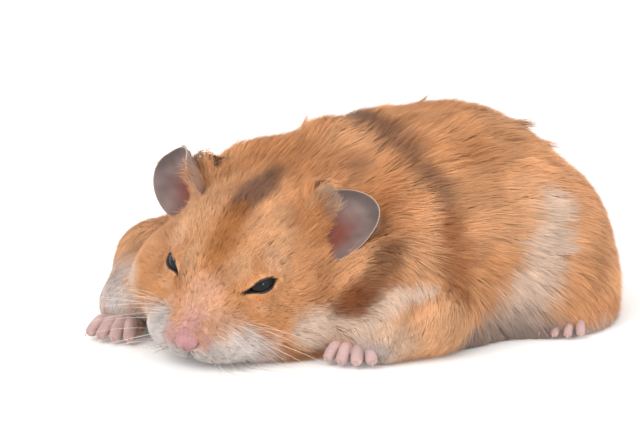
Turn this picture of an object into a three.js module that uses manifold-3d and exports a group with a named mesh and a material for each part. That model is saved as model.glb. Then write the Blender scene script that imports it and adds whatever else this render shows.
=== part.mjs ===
// A Syrian hamster lying flat on its belly, chin on the floor, head turned to its left. Millimetres, +Z up.
// It faces -Y, +X is its left, and the floor is z = 0. Every surface is where the tips of the coat end.
import * as THREE from 'three';
import { mergeVertices } from 'three/addons/utils/BufferGeometryUtils.js';
import Module from 'manifold-3d';

// ---- driving dimensions, mm and degrees ----
const GAP = 0.3; // air between two pieces that touch in life
const HEAD_AT = [1.4, -53.5, 17.4]; // middle of the braincase
const HEAD_TURN = { yaw: 36, pitch: 5, roll: 9 }; // to its left, nose down, left cheek down
const MELT = { trunk: 2.2, head: 1.7, body: 2.0, arm: 1.6 }; // how softly neighbouring swells run together
const EYE = { at: [8.6, -9.2, 1.7], radius: 3.5, lid: 1.0 };
const SLIT = { long: 3.8, short: 1.5, yaw: 36, pitch: -10, slant: -24 }; // between the lids, outer corner up
const EAR = { height: 18.2, halfWidth: 7.5, thick: 1.1, cup: 2.8, lean: 1.6 };
const NOSE = { at: [0, -24.0, -8.5], radii: [2.9, 1.9, 2.2] };
const TAIL = { from: [0, 34, 8], to: [1.6, 42.5, 4.2], radii: [3.4, 1.5] };
const HEAD_PLANE = { at: [-8.6, -37.5, 0], yaw: 15 }; // parts the head from the neck
const NECK_PLANE = { at: [-6, -23.5, 0], yaw: 6 }; // parts the neck from the trunk
const THIGH = { at: [28, 15.5, 13], radii: [15.5, 19, 17.5] };
const FORE_DIGIT = { count: 4, length: 4.2, radii: [1.5, 1.3], spread: 14 };
const HIND_DIGIT = { count: 5, length: 4.4, radii: [1.6, 1.3], spread: 11 };
const DIGIT_STEP = 0.46; // from one digit to the next, in half-widths of the palm
const CLAW = { length: 1.1, radius: 0.36 };
const LEFT = 1;
const RIGHT = -1;
const SIDES = [LEFT, RIGHT];
// Each ear's foot, the way it rises and the way it spreads, all told as if it were a left ear.
const EARS = {
  [LEFT]: { at: [15.1, 7.7, 7.4], rises: [8.2, 2.4, 7.7], spreads: [5.4, -4.5, -8.6] },
  [RIGHT]: { at: [13.8, 8.6, 9.2], rises: [9.6, 1.7, 6.7], spreads: [2.8, 1.2, -6.2] },
};

// Swells of the trunk: [centre, radii, yaw].
const TRUNK_SWELLS = [
  [[-5, -26.0, 17.4], [15.0, 11.8, 28.8], 10], // withers
  [[-1, -12.8, 6.6], [32.8, 19.0, 39.8], 4], // ribs
  [[0, 2.4, 14.6], [33.2, 28.8, 31.5], 0], // belly and loin
  [[0, 13.2, 4.8], [37.8, 24.6, 26.8], 0], // rump
  [[-12.5, -36.5, 18.6], [20.5, 13.6, 22.2], 25], // nape, bowed out on the right
  [[13.0, -46.0, 3.6], [7.6, 8.4, 5.4], 20], // loose skin under the left cheek
];
const PAIRED_TRUNK_SWELLS = [
  [[18.2, 14.7, 17.2], [12.0, 15.3, 17.0], 0], // haunch
  [[19.5, -26.5, 11.0], [11.5, 13.0, 12.5], 10], // shoulder
  [[18.6, -35.6, 10.6], [10.4, 10.0, 10.8], 20], // side of the neck
];
// Swells of the head, in its own frame: x to its left, y to its back, z to its crown.
const HEAD_SWELLS = [
  [[0, 4.6, 1.4], [16.2, 17.2, 15.6], 0, 0], // braincase
  [[0, 14.3, 1.4], [16.4, 11.0, 15.4], 0, 0], // back of the head
  [[0, -8.4, 1.2], [8.8, 10.5, 8.6], 0, 16], // brow
  [[-2.6, -11.8, -10.8], [10.2, 8.4, 3.6], 0, 0], // chin
];
const PAIRED_HEAD_SWELLS = [
  [[13.2, 2.6, -5.2], [9.2, 13.6, 10.8], 14, 0], // cheek
  [[9.4, -6.8, -9.0], [9.2, 10.0, 6.6], 0, 0], // jowl
  [[5.2, -17.2, -8.9], [6.2, 6.2, 4.5], 0, 0], // whisker pad
  [[13.8, 11.5, 14.2], [4.8, 3.6, 6.4], 0, 0], // fur at the foot of the ear
];
const BRIDGE = { from: [0, -10.5, -3.4], to: [0, -19.4, -6.9], radii: [7.6, 5.0] };
// Each foreleg: [from, to, first radius, last radius] for the upper arm and the forearm.
const ARMS = {
  [LEFT]: [
    [[20, -27, 14], [28.4, -22, 8.5], 8.6, 8.2],
    [[28.4, -22, 8], [27.4, -35.4, 5.3], 8.0, 5.9],
  ],
  [RIGHT]: [
    [[-20, -40, 15], [-30, -55.5, 11.5], 9.5, 9.0],
    [[-30, -55.5, 10.5], [-20, -68.6, 6], 8.6, 6.4],
  ],
};
const FORE_PAWS = {
  [LEFT]: { at: [23.8, -36.9, 2.6], yaw: 42, size: [5.2, 5.4, 2.9] },
  [RIGHT]: { at: [-16.3, -72.0, 2.6], yaw: 32, size: [5.2, 5.4, 2.9] },
};
const HIND_PAWS = {
  [LEFT]: { at: [30.6, 13.6, 2.6], yaw: 36, size: [5.0, 8.0, 3.0] },
  [RIGHT]: { at: [-30.6, 13.6, 2.6], yaw: -36, size: [5.0, 8.0, 3.0] },
};
// The middle line that the body is built about, from the rump to the muzzle.
const SPINE = [[0, 13, 11.5], [0, -14, 14], [0, -34, 14.5], [2.6, -50, 14], [7.4, -62, 12]];
const BODY_AROUND = 28;
const BODY_ALONG = 33;

const wasm = await Module();
wasm.setup();

// ---- frames ----
function turned({ yaw = 0, pitch = 0, roll = 0 }) {
  const about = (axis, angle) => new THREE.Matrix4().makeRotationAxis(axis, THREE.MathUtils.degToRad(angle));
  return about(new THREE.Vector3(0, 0, 1), yaw)
    .multiply(about(new THREE.Vector3(1, 0, 0), pitch))
    .multiply(about(new THREE.Vector3(0, 1, 0), roll));
}
const BODY = new THREE.Matrix4();
const HEAD = turned(HEAD_TURN).setPosition(...HEAD_AT);
const toWorld = (point, frame = BODY) => new THREE.Vector3(...point).applyMatrix4(frame);

// ---- fields: near distance to a surface, negative inside ----
function ball(centre, radii, yaw = 0, pitch = 0, frame = BODY) {
  const into = frame.clone().multiply(turned({ yaw, pitch }).setPosition(...centre)).invert();
  const [a, b, c] = radii;
  const q = new THREE.Vector3();
  return (p) => {
    q.copy(p).applyMatrix4(into);
    const k = Math.hypot(q.x / a, q.y / b, q.z / c);
    const slope = Math.hypot(q.x / (a * a), q.y / (b * b), q.z / (c * c));
    return (k * (k - 1)) / Math.max(slope, 1e-9);
  };
}
function roundCone(from, to, first, last, frame = BODY) {
  const a = toWorld(from, frame);
  const along = toWorld(to, frame).sub(a);
  const q = new THREE.Vector3();
  return (p) => {
    q.copy(p).sub(a);
    const t = THREE.MathUtils.clamp(q.dot(along) / along.lengthSq(), 0, 1);
    return q.addScaledVector(along, -t).length() - (first + (last - first) * t);
  };
}
function blend(fields, melt) {
  return (p) => {
    const ds = fields.map((field) => field(p));
    const least = Math.min(...ds);
    return least - melt * Math.log(ds.reduce((sum, d) => sum + Math.exp((least - d) / melt), 0));
  };
}
const mirrored = ([x, y, z], side) => [side * x, y, z];

const trunkField = blend([
  ...TRUNK_SWELLS.map(([centre, radii, yaw]) => ball(centre, radii, yaw)),
  ...SIDES.flatMap((side) => PAIRED_TRUNK_SWELLS.map(([centre, radii, yaw]) =>
    ball(mirrored(centre, side), radii, side * yaw))),
], MELT.trunk);
const headField = blend([
  ...HEAD_SWELLS.map(([centre, radii, yaw, pitch]) => ball(centre, radii, yaw, pitch, HEAD)),
  ...SIDES.flatMap((side) => PAIRED_HEAD_SWELLS.map(([centre, radii, yaw]) =>
    ball(mirrored(centre, side), radii, side * yaw, 0, HEAD))),
  roundCone(BRIDGE.from, BRIDGE.to, ...BRIDGE.radii, HEAD),
], MELT.head);
const bodyField = blend([trunkField, headField], MELT.body);

// ---- meshes ----
// A closed surface where the field first reaches `offset`, met by rays that fan out from the curve `spine`.
function surface(field, spine, around, along, { offset = 0, reach = 60, step = 1.5 } = {}) {
  const geometry = new THREE.SphereGeometry(1, around, along);
  const position = geometry.getAttribute('position');
  const ray = new THREE.Vector3();
  const root = new THREE.Vector3();
  const probe = new THREE.Vector3();
  const turn = new THREE.Matrix4();
  const at = (t) => field(probe.copy(root).addScaledVector(ray, t)) - offset;
  for (let i = 0; i < position.count; i += 1) {
    ray.fromBufferAttribute(position, i);
    const along01 = THREE.MathUtils.clamp((ray.y + 1) / 2, 0, 1);
    root.copy(spine.getPoint(along01));
    const ahead = spine.getTangent(along01);
    const across = new THREE.Vector3(ahead.y, -ahead.x, 0).normalize();
    ray.applyMatrix4(turn.makeBasis(across, ahead, new THREE.Vector3().crossVectors(across, ahead)));
    let far = step;
    while (far < reach && at(far) < 0) far += step;
    let near = far - step;
    for (let k = 0; k < 22; k += 1) {
      const middle = (near + far) / 2;
      if (at(middle) < 0) near = middle;
      else far = middle;
    }
    at(near);
    position.setXYZ(i, probe.x, probe.y, probe.z);
  }
  return solid(geometry);
}
const straight = (start, end) => new THREE.LineCurve3(start, end);
function solid(geometry, matrix = BODY, weld = 1e-4) {
  const bare = geometry.clone().applyMatrix4(matrix);
  bare.deleteAttribute('normal');
  bare.deleteAttribute('uv');
  const merged = mergeVertices(bare, weld);
  return new wasm.Manifold(new wasm.Mesh({
    numProp: 3,
    vertProperties: new Float32Array(merged.getAttribute('position').array),
    triVerts: new Uint32Array(merged.index.array),
  }));
}
const egg = (radii, around, along, matrix) =>
  solid(new THREE.SphereGeometry(1, around, along).scale(...radii), matrix);
const box = (size, at) => solid(new THREE.BoxGeometry(...size).translate(...at));
const FLOOR = box([400, 400, 100], [0, 0, -50]);
const joined = (solids) => solids.reduce((whole, piece) => whole.add(piece));
const without = (whole, pieces) => pieces.reduce((left, piece) => left.subtract(piece), whole);
const larger = (a, b) => (b.volume() > a.volume() ? b : a);
const largest = (whole) => whole.decompose().reduce(larger);

// The half of space behind a plane, as a big block. Its face stands `back` mm behind the plane.
function blockBehind(plane, back) {
  const slab = new THREE.BoxGeometry(300, 300, 300).translate(0, 150 + back, 0);
  return solid(slab, turned({ yaw: plane.yaw }).setPosition(...plane.at));
}
function blockBefore(plane, ahead) {
  const slab = new THREE.BoxGeometry(300, 300, 300).translate(0, -150 - ahead, 0);
  return solid(slab, turned({ yaw: plane.yaw }).setPosition(...plane.at));
}
// ---- limbs ----
function armSolid(side, offset) {
  const [upper, fore] = ARMS[side];
  const field = blend([roundCone(...upper), roundCone(...fore)], MELT.arm);
  const mid = (cone, t) => toWorld(cone[0]).lerp(toWorld(cone[1]), t);
  return surface(field, straight(mid(upper, 0.75), mid(fore, 0.6)), 12, 9, { offset, reach: 40 });
}
function thighSolid(side, offset) {
  const radii = THIGH.radii.map((radius) => radius + offset);
  return egg(radii, 13, 8, new THREE.Matrix4().makeTranslation(...mirrored(THIGH.at, side)));
}
// A paw with its digits fanned forwards (-Y of its own frame), each ending in a claw.
function pawSolid({ at, yaw, size }, digit) {
  const frame = turned({ yaw }).setPosition(...at);
  const pieces = [egg(size, 11, 6, frame)];
  for (let i = 0; i < digit.count; i += 1) {
    const fan = i - (digit.count - 1) / 2;
    const reach = digit.length * (1 - 0.09 * fan * fan);
    const turn = turned({ yaw: fan * digit.spread });
    const root = new THREE.Vector3(fan * size[0] * DIGIT_STEP, -size[1] * 0.66, -0.6);
    const toe = (point) => new THREE.Vector3(...point).applyMatrix4(turn).add(root).applyMatrix4(frame);
    const [knuckle, tip] = [toe([0, 0, 0.3]), toe([0, -reach, -0.6])];
    const field = roundCone(knuckle.toArray(), tip.toArray(), ...digit.radii);
    pieces.push(surface(field, straight(tip, knuckle), 6, 4, { reach: 6, step: 0.3 }));
    const claw = new THREE.ConeGeometry(CLAW.radius, CLAW.length, 4).rotateX(Math.PI);
    claw.translate(0, -CLAW.length / 2, 0).rotateX(THREE.MathUtils.degToRad(12));
    const base = toe([0, -reach - digit.radii[1] * 0.75, -0.4]);
    pieces.push(solid(claw, frame.clone().multiply(turn).setPosition(base)));
  }
  return joined(pieces);
}
// The room a paw needs: one egg round the palm and one round the fan of digits.
function pawRoom({ at, yaw, size }, digit) {
  const frame = turned({ yaw }).setPosition(...at);
  const palm = egg(size.map((radius) => radius + GAP), 12, 6, frame);
  const reach = digit.length + digit.radii[1] + CLAW.length + 2;
  const half = ((digit.count - 1) / 2) * size[0] * DIGIT_STEP + digit.radii[0] + 3;
  const fan = frame.clone().multiply(new THREE.Matrix4().makeTranslation(0, -size[1] * 0.55, -0.6));
  return palm.add(egg([half, reach, 3.8], 12, 6, fan));
}

// ---- ears, eyes, nose, tail ----
function earSolid(side, offset) {
  const rise = new THREE.Vector3(...mirrored(EARS[side].rises, side)).normalize();
  const spread = new THREE.Vector3(...mirrored(EARS[side].spreads, side));
  spread.addScaledVector(rise, -spread.dot(rise)).normalize();
  const facing = new THREE.Vector3().crossVectors(rise, spread).multiplyScalar(-side);
  const geometry = new THREE.SphereGeometry(1, 18, 6);
  const position = geometry.getAttribute('position');
  const point = new THREE.Vector3();
  for (let i = 0; i < position.count; i += 1) {
    const [x, y, z] = [position.getX(i), position.getY(i), position.getZ(i)];
    const flat = Math.hypot(x, z);
    const wide = flat > 1e-9 ? flat ** 0.6 / flat : 0;
    const across = x * wide;
    const up = -z * wide;
    const taper = 1 - 0.16 * up - 0.2 * up * up * Math.sign(-up) * (up < 0 ? 1 : 0);
    const halfWidth = EAR.halfWidth * taper + offset;
    const height = EAR.height / 2;
    point.set(...mirrored(EARS[side].at, side))
      .addScaledVector(rise, height * 0.62 + up * (height + offset))
      .addScaledVector(spread, across * halfWidth)
      .addScaledVector(facing, EAR.cup * across * across - EAR.lean * up
        + Math.sign(y) * Math.abs(y) ** 0.4 * (EAR.thick / 2 + offset));
    point.applyMatrix4(HEAD);
    position.setXYZ(i, point.x, point.y, point.z);
  }
  const sheet = solid(geometry);
  if (sheet.volume() > 0) return sheet;
  const index = geometry.index.array;
  for (let i = 0; i < index.length; i += 3) [index[i + 1], index[i + 2]] = [index[i + 2], index[i + 1]];
  return solid(geometry);
}
const headSpot = (point, side, turn = {}) =>
  HEAD.clone().multiply(turned(turn).setPosition(...mirrored(point, side)));
const eyeball = (side, extra) =>
  egg([1, 1, 1].map(() => EYE.radius + extra), 12, 8, headSpot(EYE.at, side));
// The almond between the lids, as a long flat egg that leads straight out of the eye.
function lidOpening(side) {
  const out = { yaw: side * SLIT.yaw, pitch: SLIT.pitch, roll: side * SLIT.slant };
  const lens = new THREE.SphereGeometry(1, 10, 6).scale(SLIT.long, 5.2, SLIT.short).translate(0, -3.2, 0);
  return solid(lens, headSpot(EYE.at, side, out));
}
const nose = (extra) => egg(NOSE.radii.map((radius) => radius + extra), 12, 7, headSpot(NOSE.at, LEFT));
const tailField = roundCone(TAIL.from, TAIL.to, ...TAIL.radii);
const tailLine = straight(toWorld(TAIL.to), toWorld(TAIL.from));
const tail = (offset) => surface(tailField, tailLine, 10, 7, { offset, reach: 12 });
const cleft = egg([0.35, 2.6, 2.6], 8, 6, headSpot([0, -23.4, -12.0], LEFT));

// ---- the pieces ----
const nodes = {};
const SHADES = {
  coat: [0xc98f5f, 0.95], cream: [0xe2c6ab, 0.95], pale: [0xe8d8cc, 0.9],
  skin: [0xd9a49c, 0.7], ear: [0x8b7a76, 0.8], eye: [0x16120f, 0.12], nose: [0xcf9389, 0.5],
};
function geometryOf(whole) {
  const { numProp, vertProperties, triVerts } = whole.getMesh();
  const geometry = new THREE.BufferGeometry();
  const flat = new Float32Array((vertProperties.length / numProp) * 3);
  for (let i = 0; i < flat.length / 3; i += 1)
    for (let k = 0; k < 3; k += 1) flat[i * 3 + k] = vertProperties[i * numProp + k];
  geometry.setAttribute('position', new THREE.BufferAttribute(flat, 3));
  geometry.setIndex([...triVerts]);
  return geometry;
}
function keep(name, whole, shade) {
  const welded = solid(geometryOf(largest(whole)), BODY, 2e-3);
  const geometry = geometryOf(largest(welded));
  geometry.computeVertexNormals();
  const [color, roughness] = SHADES[shade];
  const mesh = new THREE.Mesh(geometry, new THREE.MeshStandardMaterial({ color, roughness, metalness: 0 }));
  mesh.name = name;
  nodes[name] = mesh;
}

const wide = Object.fromEntries(SIDES.map((side) => [side, {
  arm: armSolid(side, 2 * GAP),
  ear: earSolid(side, GAP),
  forePaw: pawRoom(FORE_PAWS[side], FORE_DIGIT),
  hindPaw: pawRoom(HIND_PAWS[side], HIND_DIGIT),
}]));
const both = (kind) => SIDES.map((side) => wide[side][kind]);
const roomForArms = [...both('ear'), ...both('arm'), ...both('forePaw')];

const spine = new THREE.CatmullRomCurve3(SPINE.map((point) => toWorld(point)), false, 'centripetal');
const body = surface(bodyField, spine, BODY_AROUND, BODY_ALONG).subtract(FLOOR);

const front = body.subtract(blockBehind(HEAD_PLANE, -GAP / 2));
const lids = SIDES.map((side) => eyeball(side, EYE.lid));
keep('head', without(joined([front, ...lids]), [
  nose(GAP), cleft, ...SIDES.flatMap((side) => [eyeball(side, GAP), lidOpening(side)]), ...roomForArms,
]), 'coat');
keep('neck', without(body, [
  blockBefore(HEAD_PLANE, -GAP / 2), blockBehind(NECK_PLANE, -GAP / 2), ...roomForArms,
]), 'coat');
const rear = body.subtract(blockBefore(NECK_PLANE, -GAP / 2));
keep('trunk', without(rear, [
  tail(GAP), ...both('arm'), ...both('hindPaw'), ...SIDES.map((side) => thighSolid(side, GAP)),
]), 'coat');
keep('tail', without(tail(0), [FLOOR]), 'pale');

for (const side of SIDES) {
  const suffix = side === LEFT ? 'left' : 'right';
  keep(`foreleg_${suffix}`, without(armSolid(side, 0), [FLOOR, wide[side].forePaw]), 'cream');
  keep(`forepaw_${suffix}`, without(pawSolid(FORE_PAWS[side], FORE_DIGIT), [FLOOR]), 'skin');
  keep(`hind_leg_${suffix}`, without(rear.intersect(thighSolid(side, 0)), [wide[side].hindPaw]), 'coat');
  keep(`hind_foot_${suffix}`, without(pawSolid(HIND_PAWS[side], HIND_DIGIT), [FLOOR]), 'skin');
  keep(`ear_${suffix}`, earSolid(side, 0), 'ear');
  keep(`eye_${suffix}`, eyeball(side, 0), 'eye');
}
keep('nose', nose(0), 'nose');

const hamster = new THREE.Group();
hamster.name = 'syrian_hamster';
hamster.add(...Object.values(nodes));
export default hamster;
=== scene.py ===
"""A Syrian hamster, life size and still, lying flat on its belly with its head turned to its left.

The scene is in metres. Sizes below are in millimetres and are turned into metres where a mesh is made.
The hamster faces -Y, +X is its left side, and the floor is z = 0. The outline of the body is the level
zero of a field of swells that run together. The skin lies under it by the depth of the coat, and every
hair starts on the skin and follows the levels of the same field up to the outline.
"""

import logging
import math
from dataclasses import dataclass, field, replace
from enum import Enum
from typing import Callable, Sequence

import bpy
import numpy as np
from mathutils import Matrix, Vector


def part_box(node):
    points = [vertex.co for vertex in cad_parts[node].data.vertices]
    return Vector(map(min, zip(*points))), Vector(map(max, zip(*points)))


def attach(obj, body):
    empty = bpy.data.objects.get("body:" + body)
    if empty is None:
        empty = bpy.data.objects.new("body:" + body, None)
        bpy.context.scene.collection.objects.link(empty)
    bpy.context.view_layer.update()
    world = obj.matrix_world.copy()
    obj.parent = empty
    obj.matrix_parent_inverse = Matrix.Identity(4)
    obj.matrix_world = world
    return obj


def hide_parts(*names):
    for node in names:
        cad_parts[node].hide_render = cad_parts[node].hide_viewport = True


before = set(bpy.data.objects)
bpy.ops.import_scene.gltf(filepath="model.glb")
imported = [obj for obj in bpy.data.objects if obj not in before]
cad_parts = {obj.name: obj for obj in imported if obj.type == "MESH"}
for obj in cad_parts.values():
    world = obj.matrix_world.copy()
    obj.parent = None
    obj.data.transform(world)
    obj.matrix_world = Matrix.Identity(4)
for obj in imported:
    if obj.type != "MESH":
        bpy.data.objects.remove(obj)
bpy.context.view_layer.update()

Array = np.ndarray
Point = tuple[float, float, float]
Pair = tuple[float, float]
Row = tuple[float, ...]
LOG = logging.getLogger("hamster")
MM = 0.001
UP = np.array([0.0, 0.0, 1.0])
COLOUR_NAME = "Coat"
ROOT_MAP = "OFBake"
BODY_NAME = "root"
HAIR_SHARE = 1.0
FLOOR_GAP = 0.08  # mm between the lowest hair and the floor
LOW = 0.25  # mm, the lowest that the middle line of a claw or whisker comes
WAVES = 10  # in the noise
WAVE_PACE = (0.6, 1.5)  # how closely a wave may run, as a share of what the noise's size asks
WAVE_SUM = 3.6  # which brings the sum of the waves to about -1 to 1
POLE = 0.4  # how far beyond a bar's end its pole lies, as a share of the radius there


# -------- small sums
def unit(vectors: Array) -> Array:
    """Each vector divided by its own length.

    Args:
        vectors: any array whose last axis holds x, y and z.

    Returns:
        The same array with vectors of length one.
    """
    return vectors / np.maximum(np.linalg.norm(vectors, axis=-1, keepdims=True), 1e-9)


def ramp(values: Array, low: float, high: float) -> Array:
    """A smooth step: 0 below low, 1 above high, and 3t^2 - 2t^3 between them.

    Args:
        values: where the step is read.
        low: the value at which it starts.
        high: the value at which it is done.

    Returns:
        Shares from 0 to 1.
    """
    t = np.clip((values - low) / (high - low), 0.0, 1.0)
    return t * t * (3.0 - 2.0 * t)


def melt(distances: Sequence[Array], softness: float) -> Array:
    """The smooth union of fields: minus softness times the log of the sum of exp(-d / softness).

    Args:
        distances: one array of near distances for each field.
        softness: how far, in mm, neighbouring fields run together.

    Returns:
        One array of near distances.
    """
    stack = np.stack(distances)
    least = stack.min(axis=0)
    return least - softness * np.log(np.exp((least - stack) / softness).sum(axis=0))


def turn(yaw: float = 0.0, pitch: float = 0.0, roll: float = 0.0) -> Array:
    """The matrix that rolls about y, then pitches about x, then yaws about z.

    Args:
        yaw: degrees about z.
        pitch: degrees about x.
        roll: degrees about y.

    Returns:
        A 3 by 3 rotation matrix.
    """
    angles = np.radians((yaw, pitch, roll))
    (cy, cp, cr), (sy, sp, sr) = np.cos(angles), np.sin(angles)
    about_z = np.array([[cy, -sy, 0], [sy, cy, 0], [0, 0, 1]])
    about_x = np.array([[1, 0, 0], [0, cp, -sp], [0, sp, cp]])
    about_y = np.array([[cr, 0, sr], [0, 1, 0], [-sr, 0, cr]])
    return about_z @ about_x @ about_y


def ripple(points: Array, size: float, seed: int) -> Array:
    """Smooth noise: the mean of ten sine waves of about one size that run in fixed mixed directions.

    Args:
        points: where it is read, mm.
        size: the width of one swell of the noise, mm.
        seed: picks the directions and starts of the waves.

    Returns:
        Values from about -1 to 1.
    """
    rng = np.random.default_rng(seed)
    waves = unit(rng.normal(size=(WAVES, 3))) * rng.uniform(*WAVE_PACE, (WAVES, 1)) * math.pi / size
    return np.sin(points @ waves.T + rng.uniform(0, 2 * math.pi, WAVES)).sum(axis=-1) / WAVE_SUM


def linear(colour: Sequence[float]) -> Array:
    """The linear value of a colour given as 0 to 255 on a screen: ((c + 0.055) / 1.055) ^ 2.4."""
    c = np.asarray(colour, float) / 255.0
    return np.where(c <= 0.04045, c / 12.92, ((c + 0.055) / 1.055) ** 2.4)


def mixed(first: Array, second: Array, share: Array) -> Array:
    """first times (1 - share) plus second times share, where share has one axis fewer."""
    return first + (second - first) * share[..., None]


def smooth_path(knots: Sequence[Point] | Array, t: Array) -> Array:
    """A curve through knots: each span is the cubic with the slopes (next - last) / 2 at its two ends.

    Args:
        knots: the points it runs through.
        t: places along it, 0 at the first knot and 1 at the last.

    Returns:
        One point for each t.
    """
    k = np.asarray(knots, float)
    k = np.vstack([2 * k[0] - k[1], k, 2 * k[-1] - k[-2]])
    spans = len(k) - 3
    at = np.clip(np.asarray(t, float), 0.0, 1.0) * spans
    i = np.minimum(at.astype(int), spans - 1)
    f = (at - i)[..., None]
    a, b, c, d = k[i], k[i + 1], k[i + 2], k[i + 3]
    return 0.5 * (2 * b + (c - a) * f + (2 * a - 5 * b + 4 * c - d) * f**2 + (3 * b - a - 3 * c + d) * f**3)


def ball_grid(rows: int, cols: int) -> Array:
    """Unit directions (sin a cos b, cos a, sin a sin b) by rings of a from pole to pole and b round each.

    Args:
        rows: rings between the poles.
        cols: places round a ring.

    Returns:
        Directions by ring and place.
    """
    a = (np.arange(rows) + 0.5) / rows * math.pi
    b = np.arange(cols) / cols * 2 * math.pi
    return np.stack([np.sin(a)[:, None] * np.cos(b), np.cos(a)[:, None] * np.ones(cols),
                     np.sin(a)[:, None] * np.sin(b)], -1)


def bump(*offsets: Array) -> Array:
    """A smooth bump: exp of minus the sum of squares of the offsets, each told as a share of its width."""
    return np.exp(-sum(offset**2 for offset in offsets))


# -------- frames and fields
class Side(Enum):
    """The hamster's own left and right, with the sign of x."""

    LEFT = 1
    RIGHT = -1

    @property
    def word(self) -> str:
        """The side's name as the nodes spell it."""
        return self.name.lower()


@dataclass(frozen=True)
class Place:
    """A frame of its own inside the world: where it is and how it is turned, in mm and degrees."""

    at: Point = (0.0, 0.0, 0.0)
    yaw: float = 0.0
    pitch: float = 0.0
    roll: float = 0.0

    @property
    def axes(self) -> Array:
        """The matrix whose columns are the frame's x, y and z in the world."""
        return turn(self.yaw, self.pitch, self.roll)

    def out(self, points: Array | Sequence) -> Array:
        """Points of this frame, told in the world: at + axes p."""
        return np.asarray(points, float) @ self.axes.T + np.asarray(self.at)

    def into(self, points: Array) -> Array:
        """Points of the world, told in this frame: the transposed axes times (p - at)."""
        return (points - np.asarray(self.at)) @ self.axes


WORLD = Place()
HEAD = Place(at=(1.4, -53.5, 17.4), yaw=36.0, pitch=5.0, roll=9.0)


@dataclass(frozen=True)
class Swell:
    """An egg-shaped swell of the body."""

    at: Point
    radii: Point
    yaw: float = 0.0
    pitch: float = 0.0
    place: Place = WORLD

    def distance(self, points: Array) -> Array:
        """Near distance k (k - 1) / g, with k = |q / r| and g = |q / r^2| for a point q of its own frame.

        Args:
            points: where it is read, mm.

        Returns:
            One near distance for each point.
        """
        axes = self.place.axes @ turn(self.yaw, self.pitch)
        q = (points - self.place.out(self.at)) @ axes
        radii = np.asarray(self.radii)
        k = np.linalg.norm(q / radii, axis=-1)
        return k * (k - 1.0) / np.maximum(np.linalg.norm(q / radii**2, axis=-1), 1e-9)

    def mirrored(self) -> "Swell":
        """The same swell on the other side."""
        return replace(self, at=(-self.at[0], *self.at[1:]), yaw=-self.yaw)


@dataclass(frozen=True)
class Bone:
    """A round cone from one point to another."""

    start: Point
    end: Point
    first: float
    last: float
    place: Place = WORLD

    def distance(self, points: Array) -> Array:
        """Distance to the nearest point of the line, less the radius there, which changes evenly.

        Args:
            points: where it is read, mm.

        Returns:
            One near distance for each point.
        """
        a, b = self.place.out(self.start), self.place.out(self.end)
        t = np.clip((points - a) @ (b - a) / ((b - a) @ (b - a)), 0.0, 1.0)
        near = a + t[..., None] * (b - a)
        return np.linalg.norm(points - near, axis=-1) - (self.first + (self.last - self.first) * t)

    def middle(self, t: float) -> Array:
        """The point of its line at the share t."""
        a, b = self.place.out(self.start), self.place.out(self.end)
        return a + (b - a) * t


@dataclass(frozen=True)
class Form:
    """Swells and bones that run together."""

    parts: tuple[Swell | Bone, ...]
    softness: float

    def distance(self, points: Array) -> Array:
        """The smooth union of its parts."""
        return melt([part.distance(points) for part in self.parts], self.softness)


TRUNK = Form((
    Swell((-5, -26.0, 17.4), (15.0, 11.8, 28.8), yaw=10),  # withers
    Swell((-1, -12.8, 6.6), (32.8, 19.0, 39.8), yaw=4),  # ribs
    Swell((0, 2.4, 14.6), (33.2, 28.8, 31.5)),  # belly and loin
    Swell((0, 13.2, 4.8), (37.8, 24.6, 26.8)),  # rump
    Swell((-12.5, -36.5, 18.6), (20.5, 13.6, 22.2), yaw=25),  # nape
    Swell((13.0, -46.0, 3.6), (7.6, 8.4, 5.4), yaw=20),  # loose skin under the left cheek
    *(swell for pair in (
        Swell((18.2, 14.7, 17.2), (12.0, 15.3, 17.0)),  # haunch
        Swell((19.5, -26.5, 11.0), (11.5, 13.0, 12.5), yaw=10),  # shoulder
        Swell((18.6, -35.6, 10.6), (10.4, 10.0, 10.8), yaw=20),  # side of the neck
    ) for swell in (pair, pair.mirrored())),
), 2.2)
SKULL = Form((
    Swell((0, 4.6, 1.4), (16.2, 17.2, 15.6), place=HEAD),  # braincase
    Swell((0, 14.3, 1.4), (16.4, 11.0, 15.4), place=HEAD),  # back of the head
    Swell((0, -8.4, 1.2), (8.8, 10.5, 8.6), pitch=16, place=HEAD),  # brow
    Swell((-1.6, -11.8, -10.8), (10.2, 8.4, 3.6), place=HEAD),  # chin
    Swell((9.4, -6.8, -9.0), (9.2, 10.0, 6.6), place=HEAD),  # left jowl
    Swell((-8.2, -5.6, -9.0), (8.0, 9.6, 6.6), place=HEAD),  # right jowl
    Bone((0, -10.5, -3.4), (0, -19.4, -6.9), 7.6, 5.0, place=HEAD),  # bridge of the nose
    *(swell for pair in (
        Swell((13.2, 2.6, -5.2), (9.2, 13.6, 10.8), yaw=14, place=HEAD),  # cheek
        Swell((5.2, -17.2, -8.9), (6.2, 6.2, 4.5), place=HEAD),  # whisker pad
        Swell((13.8, 11.5, 14.2), (4.8, 3.6, 6.4), place=HEAD),  # fur at the foot of the ear
    ) for swell in (pair, pair.mirrored())),
), 1.7)
HEAD_TO_TRUNK = 2.0
SPINE = ((0, 13, 11.5), (0, -14, 14), (0, -34, 14.5), (2.6, -50, 14), (7.4, -62, 12))
NOSE_AT = (0.0, -24.0, -8.5)
NOSE_RADII = (2.9, 1.9, 2.2)


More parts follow.
